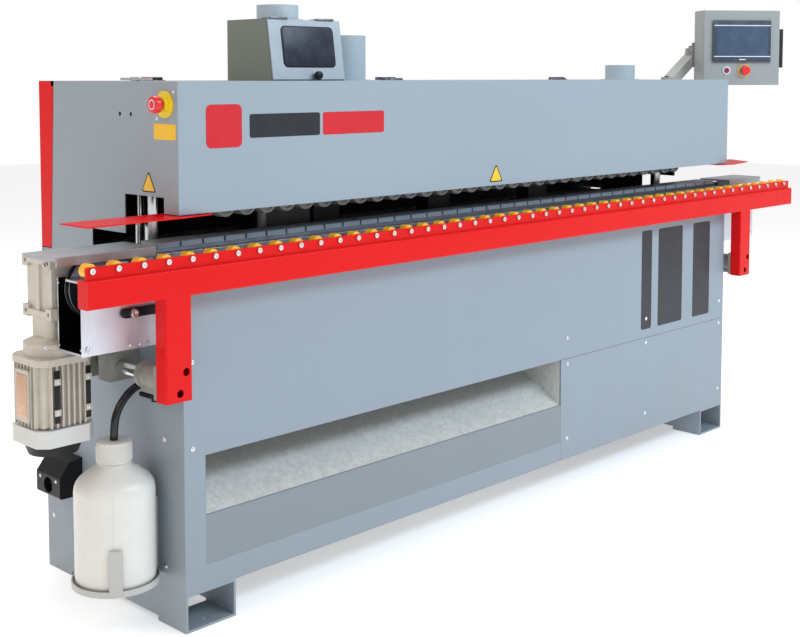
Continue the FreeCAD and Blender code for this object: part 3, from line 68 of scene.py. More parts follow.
# Colours, linear
WHITE = (1.0, 1.0, 1.0, 1.0)
GREY = (0.306, 0.360, 0.406)
# Painted shade: the cabinet's grey is about 9% darker than the hood's, for the light falling off lower down the
# machine
CABINET_SHADED_GREY = (0.280, 0.330, 0.376)
RED = (0.74, 0.003, 0.003)
RED_WORN = (0.55, 0.02, 0.015)
CAST = (0.60, 0.56, 0.48)
DUST = (0.42, 0.42, 0.42)
HAZE = (0.5, 0.5, 0.52)
SHADE = (0.016, 0.017, 0.019)
LOW_DARK_TONE = (0.30, 0.28, 0.25)

FLOOR_REACH = 14.0
PRINT_THICKNESS = 0.0004


# ---------------------------------------------------------------- camera, light and floor

def make_camera():
    """Camera at the operator's side, near the infeed end."""
    data = bpy.data.cameras.new("camera")
    camera = bpy.data.objects.new("camera", data)
    bpy.context.scene.collection.objects.link(camera)
    camera.location = (-2.8475, -2.5935, 1.2745)
    camera.rotation_euler = (math.radians(90 - 4.104), 0, math.radians(-45.821))
    data.sensor_width = 36.0
    data.lens = 56.434
    data.shift_y = -0.1898
    bpy.context.scene.camera = camera


def make_light(name, place, target, size, power, tint=(1, 1, 1)):
    """Soft rectangular studio light aimed at a point."""
    data = bpy.data.lights.new(name, "AREA")
    data.shape = "RECTANGLE"
    data.size, data.size_y = size
    data.energy = power
    data.color = tint
    light = bpy.data.objects.new(name, data)
    bpy.context.scene.collection.objects.link(light)
    light.location = place
    light.rotation_euler = (Vector(target) - Vector(place)).to_track_quat("-Z", "Y").to_euler()


def make_studio():
    """Pale floor, white surroundings and three soft lights."""
    world = bpy.data.worlds.new("studio")
    world.use_nodes = True
    nodes, links = world.node_tree.nodes, world.node_tree.links
    background = nodes["Background"]
    background.inputs["Color"].default_value = WHITE
    rays = nodes.new("ShaderNodeLightPath")
    strength = nodes.new("ShaderNodeMapRange")
    strength.inputs["To Min"].default_value = 0.53
    strength.inputs["To Max"].default_value = 1.0
    links.new(rays.outputs["Is Camera Ray"], strength.inputs["Value"])
    links.new(strength.outputs["Result"], background.inputs["Strength"])
    bpy.context.scene.world = world
    bpy.context.scene.view_settings.view_transform = "Standard"
    make_light("key_light", (0.9, -3.6, 3.5), (0.1, 0, 0.95), (4.4, 1.2), 138, (0.70, 0.86, 1.0))
    make_light("left_light", (-4.6, -0.5, 3.1), (-1.2, 0, 1.1), (1.8, 1.4), 27, (1.0, 0.74, 0.56))
    make_light("top_light", (0.0, 1.6, 4.5), (0, 0.4, 0.9), (5.0, 2.0), 110)
    make_floor()


def make_floor():
    """Flat pale floor with an even glow."""
    mesh = bpy.data.meshes.new("floor")
    corners = [(x * FLOOR_REACH, y * FLOOR_REACH, 0) for x, y in ((-1, -1), (1, -1), (1, 1), (-1, 1))]
    mesh.from_pydata(corners, [], [(0, 1, 2, 3)])
    floor = bpy.data.objects.new("floor", mesh)
    bpy.context.scene.collection.objects.link(floor)
    look = Look("floor_pale")
    look.colour(look.mix(look.noise(0.8), (0.88, 0.88, 0.89), (0.92, 0.92, 0.92)))
    look.shader.inputs["Emission Color"].default_value = WHITE
    look.shader.inputs["Emission Strength"].default_value = 0.42
    look.finish(0.7)
    mesh.materials.append(look.material)


# ---------------------------------------------------------------- materials

def scaled(colour, factor):
    """A colour made lighter or darker."""
    return tuple(min(1.0, value * factor) for value in colour)


class Look:
    """A node material on a principled shader, worked out in object space and metres."""

    def __init__(self, name):
        self.material = bpy.data.materials.new(name)
        self.material.use_nodes = True
        self.tree = self.material.node_tree
        self.shader = self.tree.nodes["Principled BSDF"]
        self.coordinates = self.tree.nodes.new("ShaderNodeTexCoord").outputs["Object"]
        self.normal = None

    def link(self, value, socket):
        """Connects an output, or sets a plain value."""
        if isinstance(value, bpy.types.NodeSocket):
            self.tree.links.new(value, socket)
        elif isinstance(value, tuple) and len(value) == 3:
            socket.default_value = (*value, 1.0) if socket.type == "RGBA" else value
        else:
            socket.default_value = value

    def stretched(self, stretch):
        """Object coordinates scaled along each axis."""
        mapping = self.tree.nodes.new("ShaderNodeMapping")
        mapping.inputs["Scale"].default_value = stretch
        self.link(self.coordinates, mapping.inputs["Vector"])
        return mapping.outputs["Vector"]

    def noise(self, scale, detail=3.0, roughness=0.55, stretch=None):
        """Fractal noise from 0 to 1."""
        node = self.tree.nodes.new("ShaderNodeTexNoise")
        node.inputs["Scale"].default_value = scale
        node.inputs["Detail"].default_value = detail
        node.inputs["Roughness"].default_value = roughness
        self.link(self.stretched(stretch) if stretch else self.coordinates, node.inputs["Vector"])
        return node.outputs["Fac"]

    def cells(self, scale):
        """Voronoi cells, each of its own colour."""
        node = self.tree.nodes.new("ShaderNodeTexVoronoi")
        node.inputs["Scale"].default_value = scale
        self.link(self.coordinates, node.inputs["Vector"])
        return node.outputs["Color"]

    def wave(self, scale, direction="X"):
        """Straight parallel ribs."""
        node = self.tree.nodes.new("ShaderNodeTexWave")
        node.bands_direction = direction
        node.inputs["Scale"].default_value = scale
        self.link(self.coordinates, node.inputs["Vector"])
        return node.outputs["Fac"]

    def axis(self, name):
        """One object coordinate in metres."""
        node = self.tree.nodes.new("ShaderNodeSeparateXYZ")
        self.link(self.coordinates, node.inputs[0])
        return node.outputs[name]

    def maths(self, operation, first, second=0.0):
        """One arithmetic node."""
        node = self.tree.nodes.new("ShaderNodeMath")
        node.operation = operation
        self.link(first, node.inputs[0])
        self.link(second, node.inputs[1])
        return node.outputs[0]

    def spread(self, value, low, high, new_low=0.0, new_high=1.0):
        """Clamped change of range."""
        node = self.tree.nodes.new("ShaderNodeMapRange")
        for socket, number in zip(node.inputs, (value, low, high, new_low, new_high)):
            self.link(number, socket)
        return node.outputs["Result"]

    def mix(self, factor, first, second):
        """Colour between two colours."""
        node = self.tree.nodes.new("ShaderNodeMix")
        node.data_type = "RGBA"
        self.link(factor, node.inputs[0])
        self.link(first, node.inputs[6])
        self.link(second, node.inputs[7])
        return node.outputs[2]

    def edges(self, radius):
        """1 beside an edge of the shape and 0 on its flats, and a softened normal for the bumps."""
        bevel = self.tree.nodes.new("ShaderNodeBevel")
        bevel.samples = 4
        bevel.inputs["Radius"].default_value = radius
        geometry = self.tree.nodes.new("ShaderNodeNewGeometry")
        product = self.tree.nodes.new("ShaderNodeVectorMath")
        product.operation = "DOT_PRODUCT"
        self.link(bevel.outputs["Normal"], product.inputs[0])
        self.link(geometry.outputs["Normal"], product.inputs[1])
        self.normal = bevel.outputs["Normal"]
        return self.spread(product.outputs["Value"], 0.995, 0.90)

    def inside(self, centre):
        """1 on the faces of a shell that look towards its centre."""
        offset = self.tree.nodes.new("ShaderNodeVectorMath")
        offset.operation = "SUBTRACT"
        self.link(self.coordinates, offset.inputs[0])
        offset.inputs[1].default_value = centre
        product = self.tree.nodes.new("ShaderNodeVectorMath")
        product.operation = "DOT_PRODUCT"
        self.link(offset.outputs[0], product.inputs[0])
        self.link(self.coordinates.node.outputs["Normal"], product.inputs[1])
        return self.maths("LESS_THAN", product.outputs["Value"], 0.0)

    def bump(self, height, strength, distance):
        """Adds relief on top of what is there."""
        node = self.tree.nodes.new("ShaderNodeBump")
        node.inputs["Strength"].default_value = strength
        node.inputs["Distance"].default_value = distance
        self.link(height, node.inputs["Height"])
        if self.normal is not None:
            self.link(self.normal, node.inputs["Normal"])
        self.normal = node.outputs["Normal"]

    def colour(self, value):
        """Sets the base colour."""
        self.link(value, self.shader.inputs["Base Color"])

    def finish(self, roughness, metallic=0.0, coat=0.0, **sockets):
        """Sets the gloss and joins the relief to the shader."""
        self.link(roughness, self.shader.inputs["Roughness"])
        self.shader.inputs["Metallic"].default_value = metallic
        self.shader.inputs["Coat Weight"].default_value = coat
        for name, value in sockets.items():
            self.shader.inputs[name.replace("_", " ")].default_value = value
        if self.normal is not None:
            self.link(self.normal, self.shader.inputs["Normal"])
        return self.material


def powder_coat(name, colour, gloss, darkening=0.0, edge_tone=None, painted_shade_centre=None, specular=0.5):
    """Powder coat: orange peel, slow change of tone, edges rubbed to another tone (lighter by default, as wear
    and painted highlight), patchy darkening towards the floor, and painted shade on faces that look inward.
    """
    look = Look(name)
    edge = look.edges(0.0009)
    tone = look.mix(look.noise(1.3, 4), scaled(colour, 0.93), scaled(colour, 1.06))
    speck = look.spread(look.noise(900, 1), 0.56, 0.72)
    tone = look.mix(look.maths("MULTIPLY", speck, 0.18), tone, scaled(colour, 0.72))
    streak = look.noise(9, 3, stretch=(6, 6, 0.5))
    streak = look.maths("MULTIPLY", look.spread(streak, 0.55, 0.8), 0.06)
    tone = look.mix(streak, tone, scaled(colour, 0.8))
    # Edges rubbed to another tone: wear, and where that tone is lighter (the default), also a painted highlight
    # along the edges
    edge_wear_and_highlight = look.maths("MULTIPLY", edge, look.spread(look.noise(35, 4), 0.42, 0.62))
    tone = look.mix(look.maths("MULTIPLY", edge_wear_and_highlight, 0.55), tone, edge_tone or scaled(colour, 1.35))
    # Patchy darkening towards the floor
    if darkening:
        near_floor = look.spread(look.axis("Z"), 0.02, 0.45, 1.0, 0.0)
        patch_mask = look.maths("MULTIPLY", near_floor, look.spread(look.noise(7, 5), 0.35, 0.7))
        tone = look.mix(look.maths("MULTIPLY", patch_mask, darkening), tone, LOW_DARK_TONE)
    # Painted shade: faces that look towards the shell's centre are coloured near black, for the shade inside it
    if painted_shade_centre:
        tone = look.mix(look.inside(painted_shade_centre), tone, SHADE)
    look.colour(tone)
    look.bump(look.noise(420, 2), 0.10, 0.0004)
    look.bump(look.noise(60, 2), 0.05, 0.0006)
    rough = look.spread(look.noise(14, 5), 0.3, 0.7, gloss - 0.05, gloss + 0.07)
    return look.finish(rough, Coat_Roughness=0.12, Specular_IOR_Level=specular)


def cast_iron_paint(name, colour, gloss):
    """Thick paint on a rough casting, with edges lightened as wear and painted highlight."""
    look = Look(name)
    edge = look.edges(0.003)
    tone = look.mix(look.noise(5, 5), scaled(colour, 0.85), scaled(colour, 1.1))
    grime = look.spread(look.noise(38, 5), 0.5, 0.75)
    tone = look.mix(look.maths("MULTIPLY", grime, 0.3), tone, scaled(colour, 0.55))
    # Edges lightened: wear, and a painted highlight along the edges
    tone = look.mix(look.maths("MULTIPLY", edge, 0.35), tone, scaled(colour, 1.3))
    look.colour(tone)
    look.bump(look.noise(190, 4), 0.28, 0.0009)
    look.bump(look.noise(30, 3), 0.12, 0.002)
    return look.finish(look.spread(look.noise(25, 4), 0.3, 0.7, gloss - 0.08, gloss + 0.10))


def metal(name, colour, gloss, grain=(1, 60, 60), mark=0.12, relief=0.08, metallic=1.0, painted_shade_centre=None):
    """Machined or drawn metal with grain along one axis, stains, handling marks, edges lightened as wear and
    painted highlight, and painted shade on faces that look inward.
    """
    look = Look(name)
    edge = look.edges(0.0012)
    lines = look.noise(18, 5, 0.65, stretch=grain)
    tone = look.mix(lines, scaled(colour, 0.80), scaled(colour, 1.12))
    stain = look.spread(look.noise(11, 5), 0.48, 0.75)
    tone = look.mix(look.maths("MULTIPLY", stain, mark), tone, scaled(colour, 0.45))
    # Edges lightened: wear, and a painted highlight along the edges
    tone = look.mix(look.maths("MULTIPLY", edge, 0.5), tone, scaled(colour, 1.4))
    # Painted shade: faces that look towards the shell's centre are coloured near black, for the shade inside it
    if painted_shade_centre:
        tone = look.mix(look.inside(painted_shade_centre), tone, SHADE)
    look.colour(tone)
    look.bump(lines, relief, 0.0004)
    rough = look.spread(look.noise(24, 4), 0.3, 0.7, gloss - 0.07, gloss + 0.12)
    return look.finish(rough, metallic=metallic)


def plastic(name, colour, gloss, grain=700.0, relief=0.10, coat=0.0, soiled=0.15, specular=0.5):
    """Moulded plastic with a fine texture, slight shading of tone and handling dirt."""
    look = Look(name)
    look.edges(0.0010)
    tone = look.mix(look.noise(8, 4), scaled(colour, 0.88), scaled(colour, 1.08))
    darkening = look.spread(look.noise(45, 5), 0.52, 0.78)
    tone = look.mix(look.maths("MULTIPLY", darkening, soiled), tone, scaled(colour, 0.6))
    look.colour(tone)
    look.bump(look.noise(grain, 2), relief, 0.0003)
    rough = look.spread(look.noise(30, 3), 0.3, 0.7, gloss - 0.05, gloss + 0.08)
    return look.finish(rough, coat=coat, Coat_Roughness=0.1, Specular_IOR_Level=specular)


def rubber(name, colour, gloss, ribs=None, direction="X", bloom=0.30):
    """Rubber with a dusty bloom, and moulded ribs where the part has them."""
    look = Look(name)
    look.edges(0.0012)
    tone = look.mix(look.noise(12, 4), scaled(colour, 0.8), scaled(colour, 1.25))
    patch_mask = look.spread(look.noise(70, 5), 0.50, 0.80)
    tone = look.mix(look.maths("MULTIPLY", patch_mask, bloom), tone, DUST)
    look.colour(tone)
    if ribs:
        look.bump(look.wave(ribs, direction), 0.5, 0.0012)
    look.bump(look.noise(900, 2), 0.25, 0.0003)
    return look.finish(look.spread(look.noise(40, 3), 0.3, 0.7, gloss - 0.08, gloss + 0.08))


def galvanised(name, colour, gloss, shaded_lip_colour):
    """Zinc-coated slope with its spangle and a speckle of chips, behind a painted front lip whose grey is
    darkened as painted shade.
    """
    look = Look(name)
    spangle = look.cells(95)
    split = look.tree.nodes.new("ShaderNodeSeparateColor")
    look.link(spangle, split.inputs[0])
    crystal = split.outputs[0]
    tone = look.mix(crystal, scaled(colour, 0.90), scaled(colour, 1.06))
    speck = look.spread(look.noise(240, 4), 0.55, 0.68)
    tone = look.mix(look.maths("MULTIPLY", speck, 0.35), tone, scaled(colour, 0.62))
    paint = look.mix(look.noise(1.3, 4), scaled(shaded_lip_colour, 0.9), scaled(shaded_lip_colour, 1.03))
    lip = look.maths("LESS_THAN", look.axis("Y"), CABINET_FRONT + 0.0034)
    look.colour(look.mix(lip, tone, paint))
    look.bump(look.noise(300, 3), 0.08, 0.0003)
    return look.finish(look.spread(crystal, 0.0, 1.0, gloss - 0.08, gloss + 0.10))


def two_tone(name, low, high, height, gloss):
    """Moulded part that changes colour at one height."""
    look = Look(name)
    look.edges(0.0015)
    step = look.maths("GREATER_THAN", look.axis("Z"), height)
    mottle = look.noise(10, 4)
    dark = look.mix(mottle, scaled(low, 0.8), scaled(low, 1.3))
    light = look.mix(mottle, scaled(high, 0.90), scaled(high, 1.06))
    look.colour(look.mix(step, dark, light))
    look.bump(look.noise(350, 3), 0.15, 0.0005)
    rough = look.spread(look.noise(28, 3), 0.3, 0.7, gloss - 0.05, gloss + 0.1)
    return look.finish(rough, Specular_IOR_Level=0.3)


def glass_front(name, colour, gloss):
    """Dark glossy display glass with a faint haze of fingerprints."""
    look = Look(name)
    haze = look.spread(look.noise(22, 5), 0.45, 0.75)
    tone = look.mix(look.noise(5, 2), scaled(colour, 0.85), scaled(colour, 1.15))
    look.colour(look.mix(look.maths("MULTIPLY", haze, 0.03), tone, HAZE))
    return look.finish(look.spread(haze, 0.0, 1.0, gloss, gloss + 0.15), Specular_IOR_Level=0.3)


def panel_paint(name, colour, gloss):
    """Operator panel: textured paint on the case, black moulding on the handle at its side."""
    look = Look(name)
    look.edges(0.002)
    tone = look.mix(look.noise(6, 4), scaled(colour, 0.94), scaled(colour, 1.05))
    along = look.tree.nodes.new("ShaderNodeVectorMath")
    along.operation = "DOT_PRODUCT"
    look.link(look.coordinates, along.inputs[0])
    side = Vector((math.cos(PANEL_TURN), math.sin(PANEL_TURN), 0.0))
    along.inputs[1].default_value = side
    handle = look.maths("GREATER_THAN", along.outputs["Value"], PANEL_CENTRE.dot(side) + PANEL_HALF_WIDTH)
    look.colour(look.mix(handle, tone, (0.010, 0.010, 0.011)))
    look.bump(look.noise(350, 2), 0.10, 0.0004)
    return look.finish(look.spread(look.noise(18, 4), 0.3, 0.7, gloss - 0.05, gloss + 0.08))


def make_looks():
    """Every material, by the name of the finish."""
    return {
        # painted shade: the cabinet's paint is kept darker than the hood's
        "cabinet": powder_coat("cabinet_grey_painted_shade", CABINET_SHADED_GREY, 0.42, darkening=0.25),
        "hood": powder_coat("hood_grey", GREY, 0.40, painted_shade_centre=(0.0, -0.03, 1.10)),
        "ports": powder_coat("port_grey", (0.43, 0.51, 0.57), 0.40),
        "red": powder_coat("signal_red", RED, 0.30, edge_tone=RED_WORN, specular=0.2),
        "rear_red": powder_coat("rear_red", RED, 0.30, edge_tone=RED_WORN, painted_shade_centre=(0.0, 0.0, 1.05), specular=0.2),
        "bracket": powder_coat("bracket_grey", (0.50, 0.50, 0.47), 0.36),
        "cast": cast_iron_paint("cast_grey", CAST, 0.42),
        "box_grey": powder_coat("box_grey", (0.20, 0.225, 0.19), 0.45, painted_shade_centre=(-0.62, 0.0, 1.34)),
        "arm_grey": powder_coat("arm_grey", (0.36, 0.36, 0.33), 0.42),
        "door": metal("door_silver", (0.41, 0.45, 0.49), 0.50, grain=(60, 60, 1.5), mark=0.05,
                      metallic=0.4),
        "beam": metal("beam_aluminium", (0.62, 0.64, 0.66), 0.40, painted_shade_centre=(0.0, -0.2, 0.753)),
        "cover": metal("cover_silver", (0.78, 0.82, 0.88), 0.50, grain=(60, 60, 1.0), mark=0.04),
        "steel": metal("bright_steel", (0.72, 0.73, 0.75), 0.16, grain=(40, 40, 1)),
        "rod": metal("ground_rod", (0.74, 0.75, 0.77), 0.14, grain=(40, 1, 40)),
        "screws": metal("zinc_screws", (0.78, 0.78, 0.76), 0.25, grain=(30, 30, 30)),
        "aluminium": metal("aluminium", (0.66, 0.70, 0.76), 0.34, grain=(1, 70, 70), mark=0.10),
        "dark_steel": metal("dark_steel", (0.22, 0.22, 0.24), 0.36, grain=(25, 25, 25), mark=0.3),
        "rod_cast": cast_iron_paint("holder_grey", (0.30, 0.30, 0.27), 0.34),
        "bronze": metal("bronze", (0.62, 0.42, 0.18), 0.3, grain=(30, 30, 30)),
        "pads": rubber("track_pads", (0.27, 0.31, 0.35), 0.40, bloom=0.15),
        "roller_rubber": rubber("pressure_rubber", (0.42, 0.43, 0.42), 0.45, ribs=60.0, direction="Y"),
        "plate": metal("table_plate", (0.50, 0.53, 0.55), 0.44, grain=(1, 55, 55), mark=0.10),
        # Painted shade: the pressure beam and the trim and glue units inside the hood are near black for the
        # shade they sit in, not their own metal
        "shaded_interior": metal("steel_near_black_shaded", (0.10, 0.10, 0.11), 0.42, grain=(25, 25, 25), mark=0.3),
        "hose": rubber("hose_rubber", (0.006, 0.006, 0.007), 0.20, bloom=0.02),
        "black": plastic("black_plastic", (0.010, 0.010, 0.011), 0.34, specular=0.25),
        "yellow": plastic("roller_yellow", (0.96, 0.50, 0.02), 0.30, coat=0.2, soiled=0.3),
        "stop_yellow": plastic("stop_yellow", (0.95, 0.72, 0.02), 0.3, coat=0.2),
        "stop_red": plastic("stop_red", (0.78, 0.015, 0.012), 0.28, coat=0.3),
        "bottle": plastic("bottle_white", (0.75, 0.74, 0.69), 0.34, grain=260.0, relief=0.06,
                          soiled=0.10),
        # painted shade: the lip's grey is darker than the cabinet's, for the light falling off near the floor
        "galvanised": galvanised("chute_zinc", (0.65, 0.65, 0.62), 0.5, (0.25, 0.28, 0.30)),
        "fan_cowl": two_tone("fan_cowl", (0.008, 0.008, 0.009), (0.66, 0.66, 0.63), 0.458, 0.40),
        "panel_grey": panel_paint("panel_grey", (0.31, 0.33, 0.325), 0.36),
        "glass": glass_front("display_glass", (0.050, 0.065, 0.088), 0.22),
        "display": glass_front("display_field", (0.055, 0.085, 0.140), 0.26),
        "window": glass_front("door_window", (0.018, 0.022, 0.042), 0.24),
        "print_dark": plastic("print_dark", (0.012, 0.013, 0.020), 0.35, relief=0.03),
        "print_red": plastic("print_red", (0.62, 0.010, 0.020), 0.32, relief=0.03),
        "print_yellow": plastic("print_yellow", (0.90, 0.55, 0.02), 0.35, relief=0.03),
        "print_pale": plastic("print_pale", (0.70, 0.76, 0.84), 0.35, relief=0.03),
        "copper": metal("rating_plate", (0.62, 0.40, 0.27), 0.25, grain=(30, 2, 30)),
        "lens": plastic("red_lens", (0.35, 0.005, 0.02), 0.15, coat=0.8),
    }


NODE_LOOKS = {
    "cabinet": ["base_frame", "left_foot", "right_foot", "front_panel", "access_panel",
                "left_side_panel", "right_side_panel", "rear_panel"],
    "galvanised": ["chute_tray"],
    "hood": ["upper_hood"],
    "ports": ["extraction_ports"],
    "beam": ["conveyor_beam"],
    "red": ["support_rail", "hand_guards"],
    "rear_red": ["rear_hood"],
    "bracket": ["bottle_holder"],
    "cast": ["gearbox_housing", "motor_housing"],
    "fan_cowl": ["fan_cowl"],
    "box_grey": ["glue_box"],
    "arm_grey": ["panel_arm"],
    "door": ["glue_door"],
    "cover": ["beam_side_plates"],
    "aluminium": ["track_guide"],
    "plate": ["infeed_plate", "outfeed_plate"],
    "rod_cast": ["rod_holders", "rod_guides"],
    # painted shade: these parts inside the hood are coloured near black
    "shaded_interior": ["pressure_beam", "trim_unit", "glue_unit"],
    "steel": ["guide_columns", "drive_shaft", "height_screw"],
    "rod": ["rail_rods"],
    "screws": ["panel_screws", "roller_bolts"],
    "dark_steel": ["feed_chain", "drive_sprocket", "idler_sprocket", "worm_shaft", "trim_cutter",
                   "glue_roller"],
    "bronze": ["worm_wheel"],
    "pads": ["feed_pads"],
    "roller_rubber": ["pressure_roller_first", "pressure_rollers"],
    "yellow": ["support_roller_first", "support_rollers"],
    "black": ["cooling_fan", "power_inlet", "clamp_lever"],
    "bottle": ["bottle", "bottle_cap"],
    "panel_grey": ["control_box"],
    "stop_red": ["panel_stop_button", "side_stop_button"],
    "stop_yellow": ["side_stop_body"],
    "lens": ["start_button"],
}


def dress_nodes(looks):
    """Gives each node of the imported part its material."""
    for finish, names in NODE_LOOKS.items():
        for name in names:
            data = frame["nodes"][name].data
            data.materials.clear()
            data.materials.append(looks[finish])


# ---------------------------------------------------------------- shapes

def facing(centre, sides):
    """Matrix that lays a flat piece's own X, Y and Z along right, up and outwards."""
    right, up = (Vector(side) for side in sides)
    out = right.cross(up)
    return Matrix.Translation(Vector(centre)) @ Matrix((right, up, out)).transposed().to_4x4()


def on_panel(x, z, out=0.0):
    """Place on the operator panel's front, from its own centre."""
    turn = Matrix.Translation(PANEL_CENTRE) @ Matrix.Rotation(PANEL_TURN, 4, "Z")
    return turn @ facing((x, -out, z), FRONT)


def rounded(width, height, radius, steps=6):
    """Outline of a rectangle with rounded corners."""
    points = []
    for corner in range(4):
        sign_x = (1, -1, -1, 1)[corner]
        sign_y = (1, 1, -1, -1)[corner]
        for step in range(steps + 1):
            angle = math.pi / 2 * (corner + step / steps)
            points.append((sign_x * (width / 2 - radius) + radius * math.cos(angle),
                           sign_y * (height / 2 - radius) + radius * math.sin(angle)))
    return points


def triangle(side, radius, steps=6):
    """Outline of an upright triangle with rounded corners."""
    points = []
    for corner in range(3):
        centre = math.radians(90 + 120 * corner)
        reach = side / math.sqrt(3) - 2 * radius
        for step in range(steps + 1):
            angle = centre + math.radians(-60 + 120 * step / steps)
            points.append((reach * math.cos(centre) + radius * math.cos(angle),
                           reach * math.sin(centre) + radius * math.sin(angle)))
    return points


def merge(target, source, place):
    """Adds one mesh to another at a place."""
    source.transform(place)
    mesh = bpy.data.meshes.new("scratch")
    source.to_mesh(mesh)
    source.free()
    target.from_mesh(mesh)
    bpy.data.meshes.remove(mesh)


def add_plate(target, outline, place, thickness, bevel=0.0):
    """Flat plate standing on its place, with its outer edge bevelled."""
    shape = bmesh.new()
    floor = shape.faces.new([shape.verts.new((x, y, 0.0)) for x, y in outline])
    top = bmesh.ops.extrude_face_region(shape, geom=[floor])["geom"]
    verts = [item for item in top if isinstance(item, bmesh.types.BMVert)]
    bmesh.ops.translate(shape, verts=verts, vec=(0, 0, thickness))
    if bevel:
        rim = [edge for edge in shape.edges if all(vert.co.z > thickness / 2 for vert in edge.verts)]
        bmesh.ops.bevel(shape, geom=rim, offset=bevel, segments=3, profile=0.5, affect="EDGES")
    bmesh.ops.recalc_face_normals(shape, faces=shape.faces)
    merge(target, shape, place)


def add_block(target, size, place, bevel=0.001):
    """Block with all its edges bevelled, centred on its place."""
    shape = bmesh.new()
    bmesh.ops.create_cube(shape, size=1.0)
    bmesh.ops.scale(shape, verts=shape.verts, vec=size)
    bmesh.ops.bevel(shape, geom=list(shape.edges), offset=bevel, segments=3, profile=0.5, affect="EDGES")
    merge(target, shape, place)


def add_lathe(target, profile, place, steps=32):
    """Turned shape about its place's outward axis, from (radius, height) points."""
    shape = bmesh.new()
    rings = []
    for radius, height in profile:
        if radius < 1e-6:
            rings.append([shape.verts.new((0, 0, height))])
            continue
        ring = []
        for step in range(steps):
            angle = 2 * math.pi * step / steps
            ring.append(shape.verts.new((radius * math.cos(angle), radius * math.sin(angle), height)))
        rings.append(ring)
    for low, high in zip(rings, rings[1:]):
        for step in range(steps):
            after = (step + 1) % steps
            if len(low) == 1:
                shape.faces.new((low[0], high[after], high[step]))
            elif len(high) == 1:
                shape.faces.new((low[step], low[after], high[0]))
            else:
                shape.faces.new((low[step], low[after], high[after], high[step]))
    bmesh.ops.recalc_face_normals(shape, faces=shape.faces)
    merge(target, shape, place)


def add_socket_screw(target, place, radius, height):
    """Cap screw with a hexagon socket and a chamfered rim."""
    rim = radius * 0.1
    socket = radius * 0.55
    add_lathe(target, [(0, 0), (radius, 0), (radius, height - rim), (radius - rim, height),
                       (socket, height), (socket * 0.98, height * 0.45), (0, height * 0.4)], place, 24)


def add_pan_screw(target, place, radius, height):
    """Low domed screw with a small recess."""
    add_lathe(target, [(0, 0), (radius, 0), (radius * 0.96, height * 0.4), (radius * 0.7, height * 0.85),
                       (radius * 0.34, height), (radius * 0.3, height * 0.6), (0, height * 0.55)], place, 20)


def add_hex_bolt(target, place, radius, height):
    """Hexagon head on a round washer."""
    washer = height * 0.2
    rim = radius * 1.15
    add_lathe(target, [(0, 0), (rim, 0), (rim, washer), (0, washer)], place, 24)
    angles = [math.radians(60 * corner) for corner in range(6)]
    outline = [(radius * math.cos(angle), radius * math.sin(angle)) for angle in angles]
    add_plate(target, outline, place @ Matrix.Translation((0, 0, washer)), height * 0.8, radius * 0.08)


def piece(name, shape, material, body, angle=35):
    """Turns a built mesh into a named piece that rides on a body."""
    mesh = bpy.data.meshes.new(name)
    shape.to_mesh(mesh)
    shape.free()
    mesh.polygons.foreach_set("use_smooth", [True] * len(mesh.polygons))
    mesh.set_sharp_from_angle(angle=math.radians(angle))
    mesh.materials.append(material)
    made = bpy.data.objects.new(name, mesh)
    bpy.context.scene.collection.objects.link(made)
    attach(made, body)
    return made


# ---------------------------------------------------------------- the spray hose

HOSE_ROUTE = [(-1.290, -0.171, 0.450), (-1.290, -0.172, 0.490), (-1.27469, -0.173, 0.52696),
              (-1.24641, -0.174, 0.55524), (-1.20945, -0.175, 0.57055), (-1.16945, -0.175, 0.57055)]


def make_hose(looks):
    """Hose from the bottle's cap into the cabinet, with the grommet it passes through."""
    curve = bpy.data.curves.new("spray_hose_line", "CURVE")
    curve.dimensions = "3D"
    curve.bevel_depth = 0.0095
    curve.bevel_resolution = 5
    curve.resolution_u = 24
    curve.use_fill_caps = True
    spline = curve.splines.new("NURBS")
    spline.points.add(len(HOSE_ROUTE) - 1)
    for point, place in zip(spline.points, HOSE_ROUTE):
        point.co = (*place, 1.0)
    spline.order_u = 3
    spline.use_endpoint_u = True
    curve.materials.append(looks["hose"])
    hose = bpy.data.objects.new("spray_hose_tube", curve)
    bpy.context.scene.collection.objects.link(hose)
    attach(hose, "machine")
    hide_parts("spray_hose")
    shape = bmesh.new()
    end = (CABINET_LEFT, HOSE_ROUTE[-1][1], HOSE_ROUTE[-1][2])
    add_lathe(shape, [(0.0098, 0.0), (0.0165, 0.0), (0.0165, 0.0015), (0.0125, 0.0035), (0.0105, 0.0075),
                      (0.0098, 0.0075), (0.0098, 0.0)], facing(end, LEFT), 36)
    piece("hose_grommet", shape, looks["hose"], "machine")


# ---------------------------------------------------------------- marks and labels

def make_label(name, centre, sides, outlines, material, thickness=PRINT_THICKNESS):
    """Thin printed shapes on one face, as (offset along the face, outline)."""
    shape = bmesh.new()
    for offset, outline in outlines:
        place = facing(centre, sides) @ Matrix.Translation((offset, 0, 0))
        add_plate(shape, outline, place, thickness)
    piece(name, shape, material, "machine")


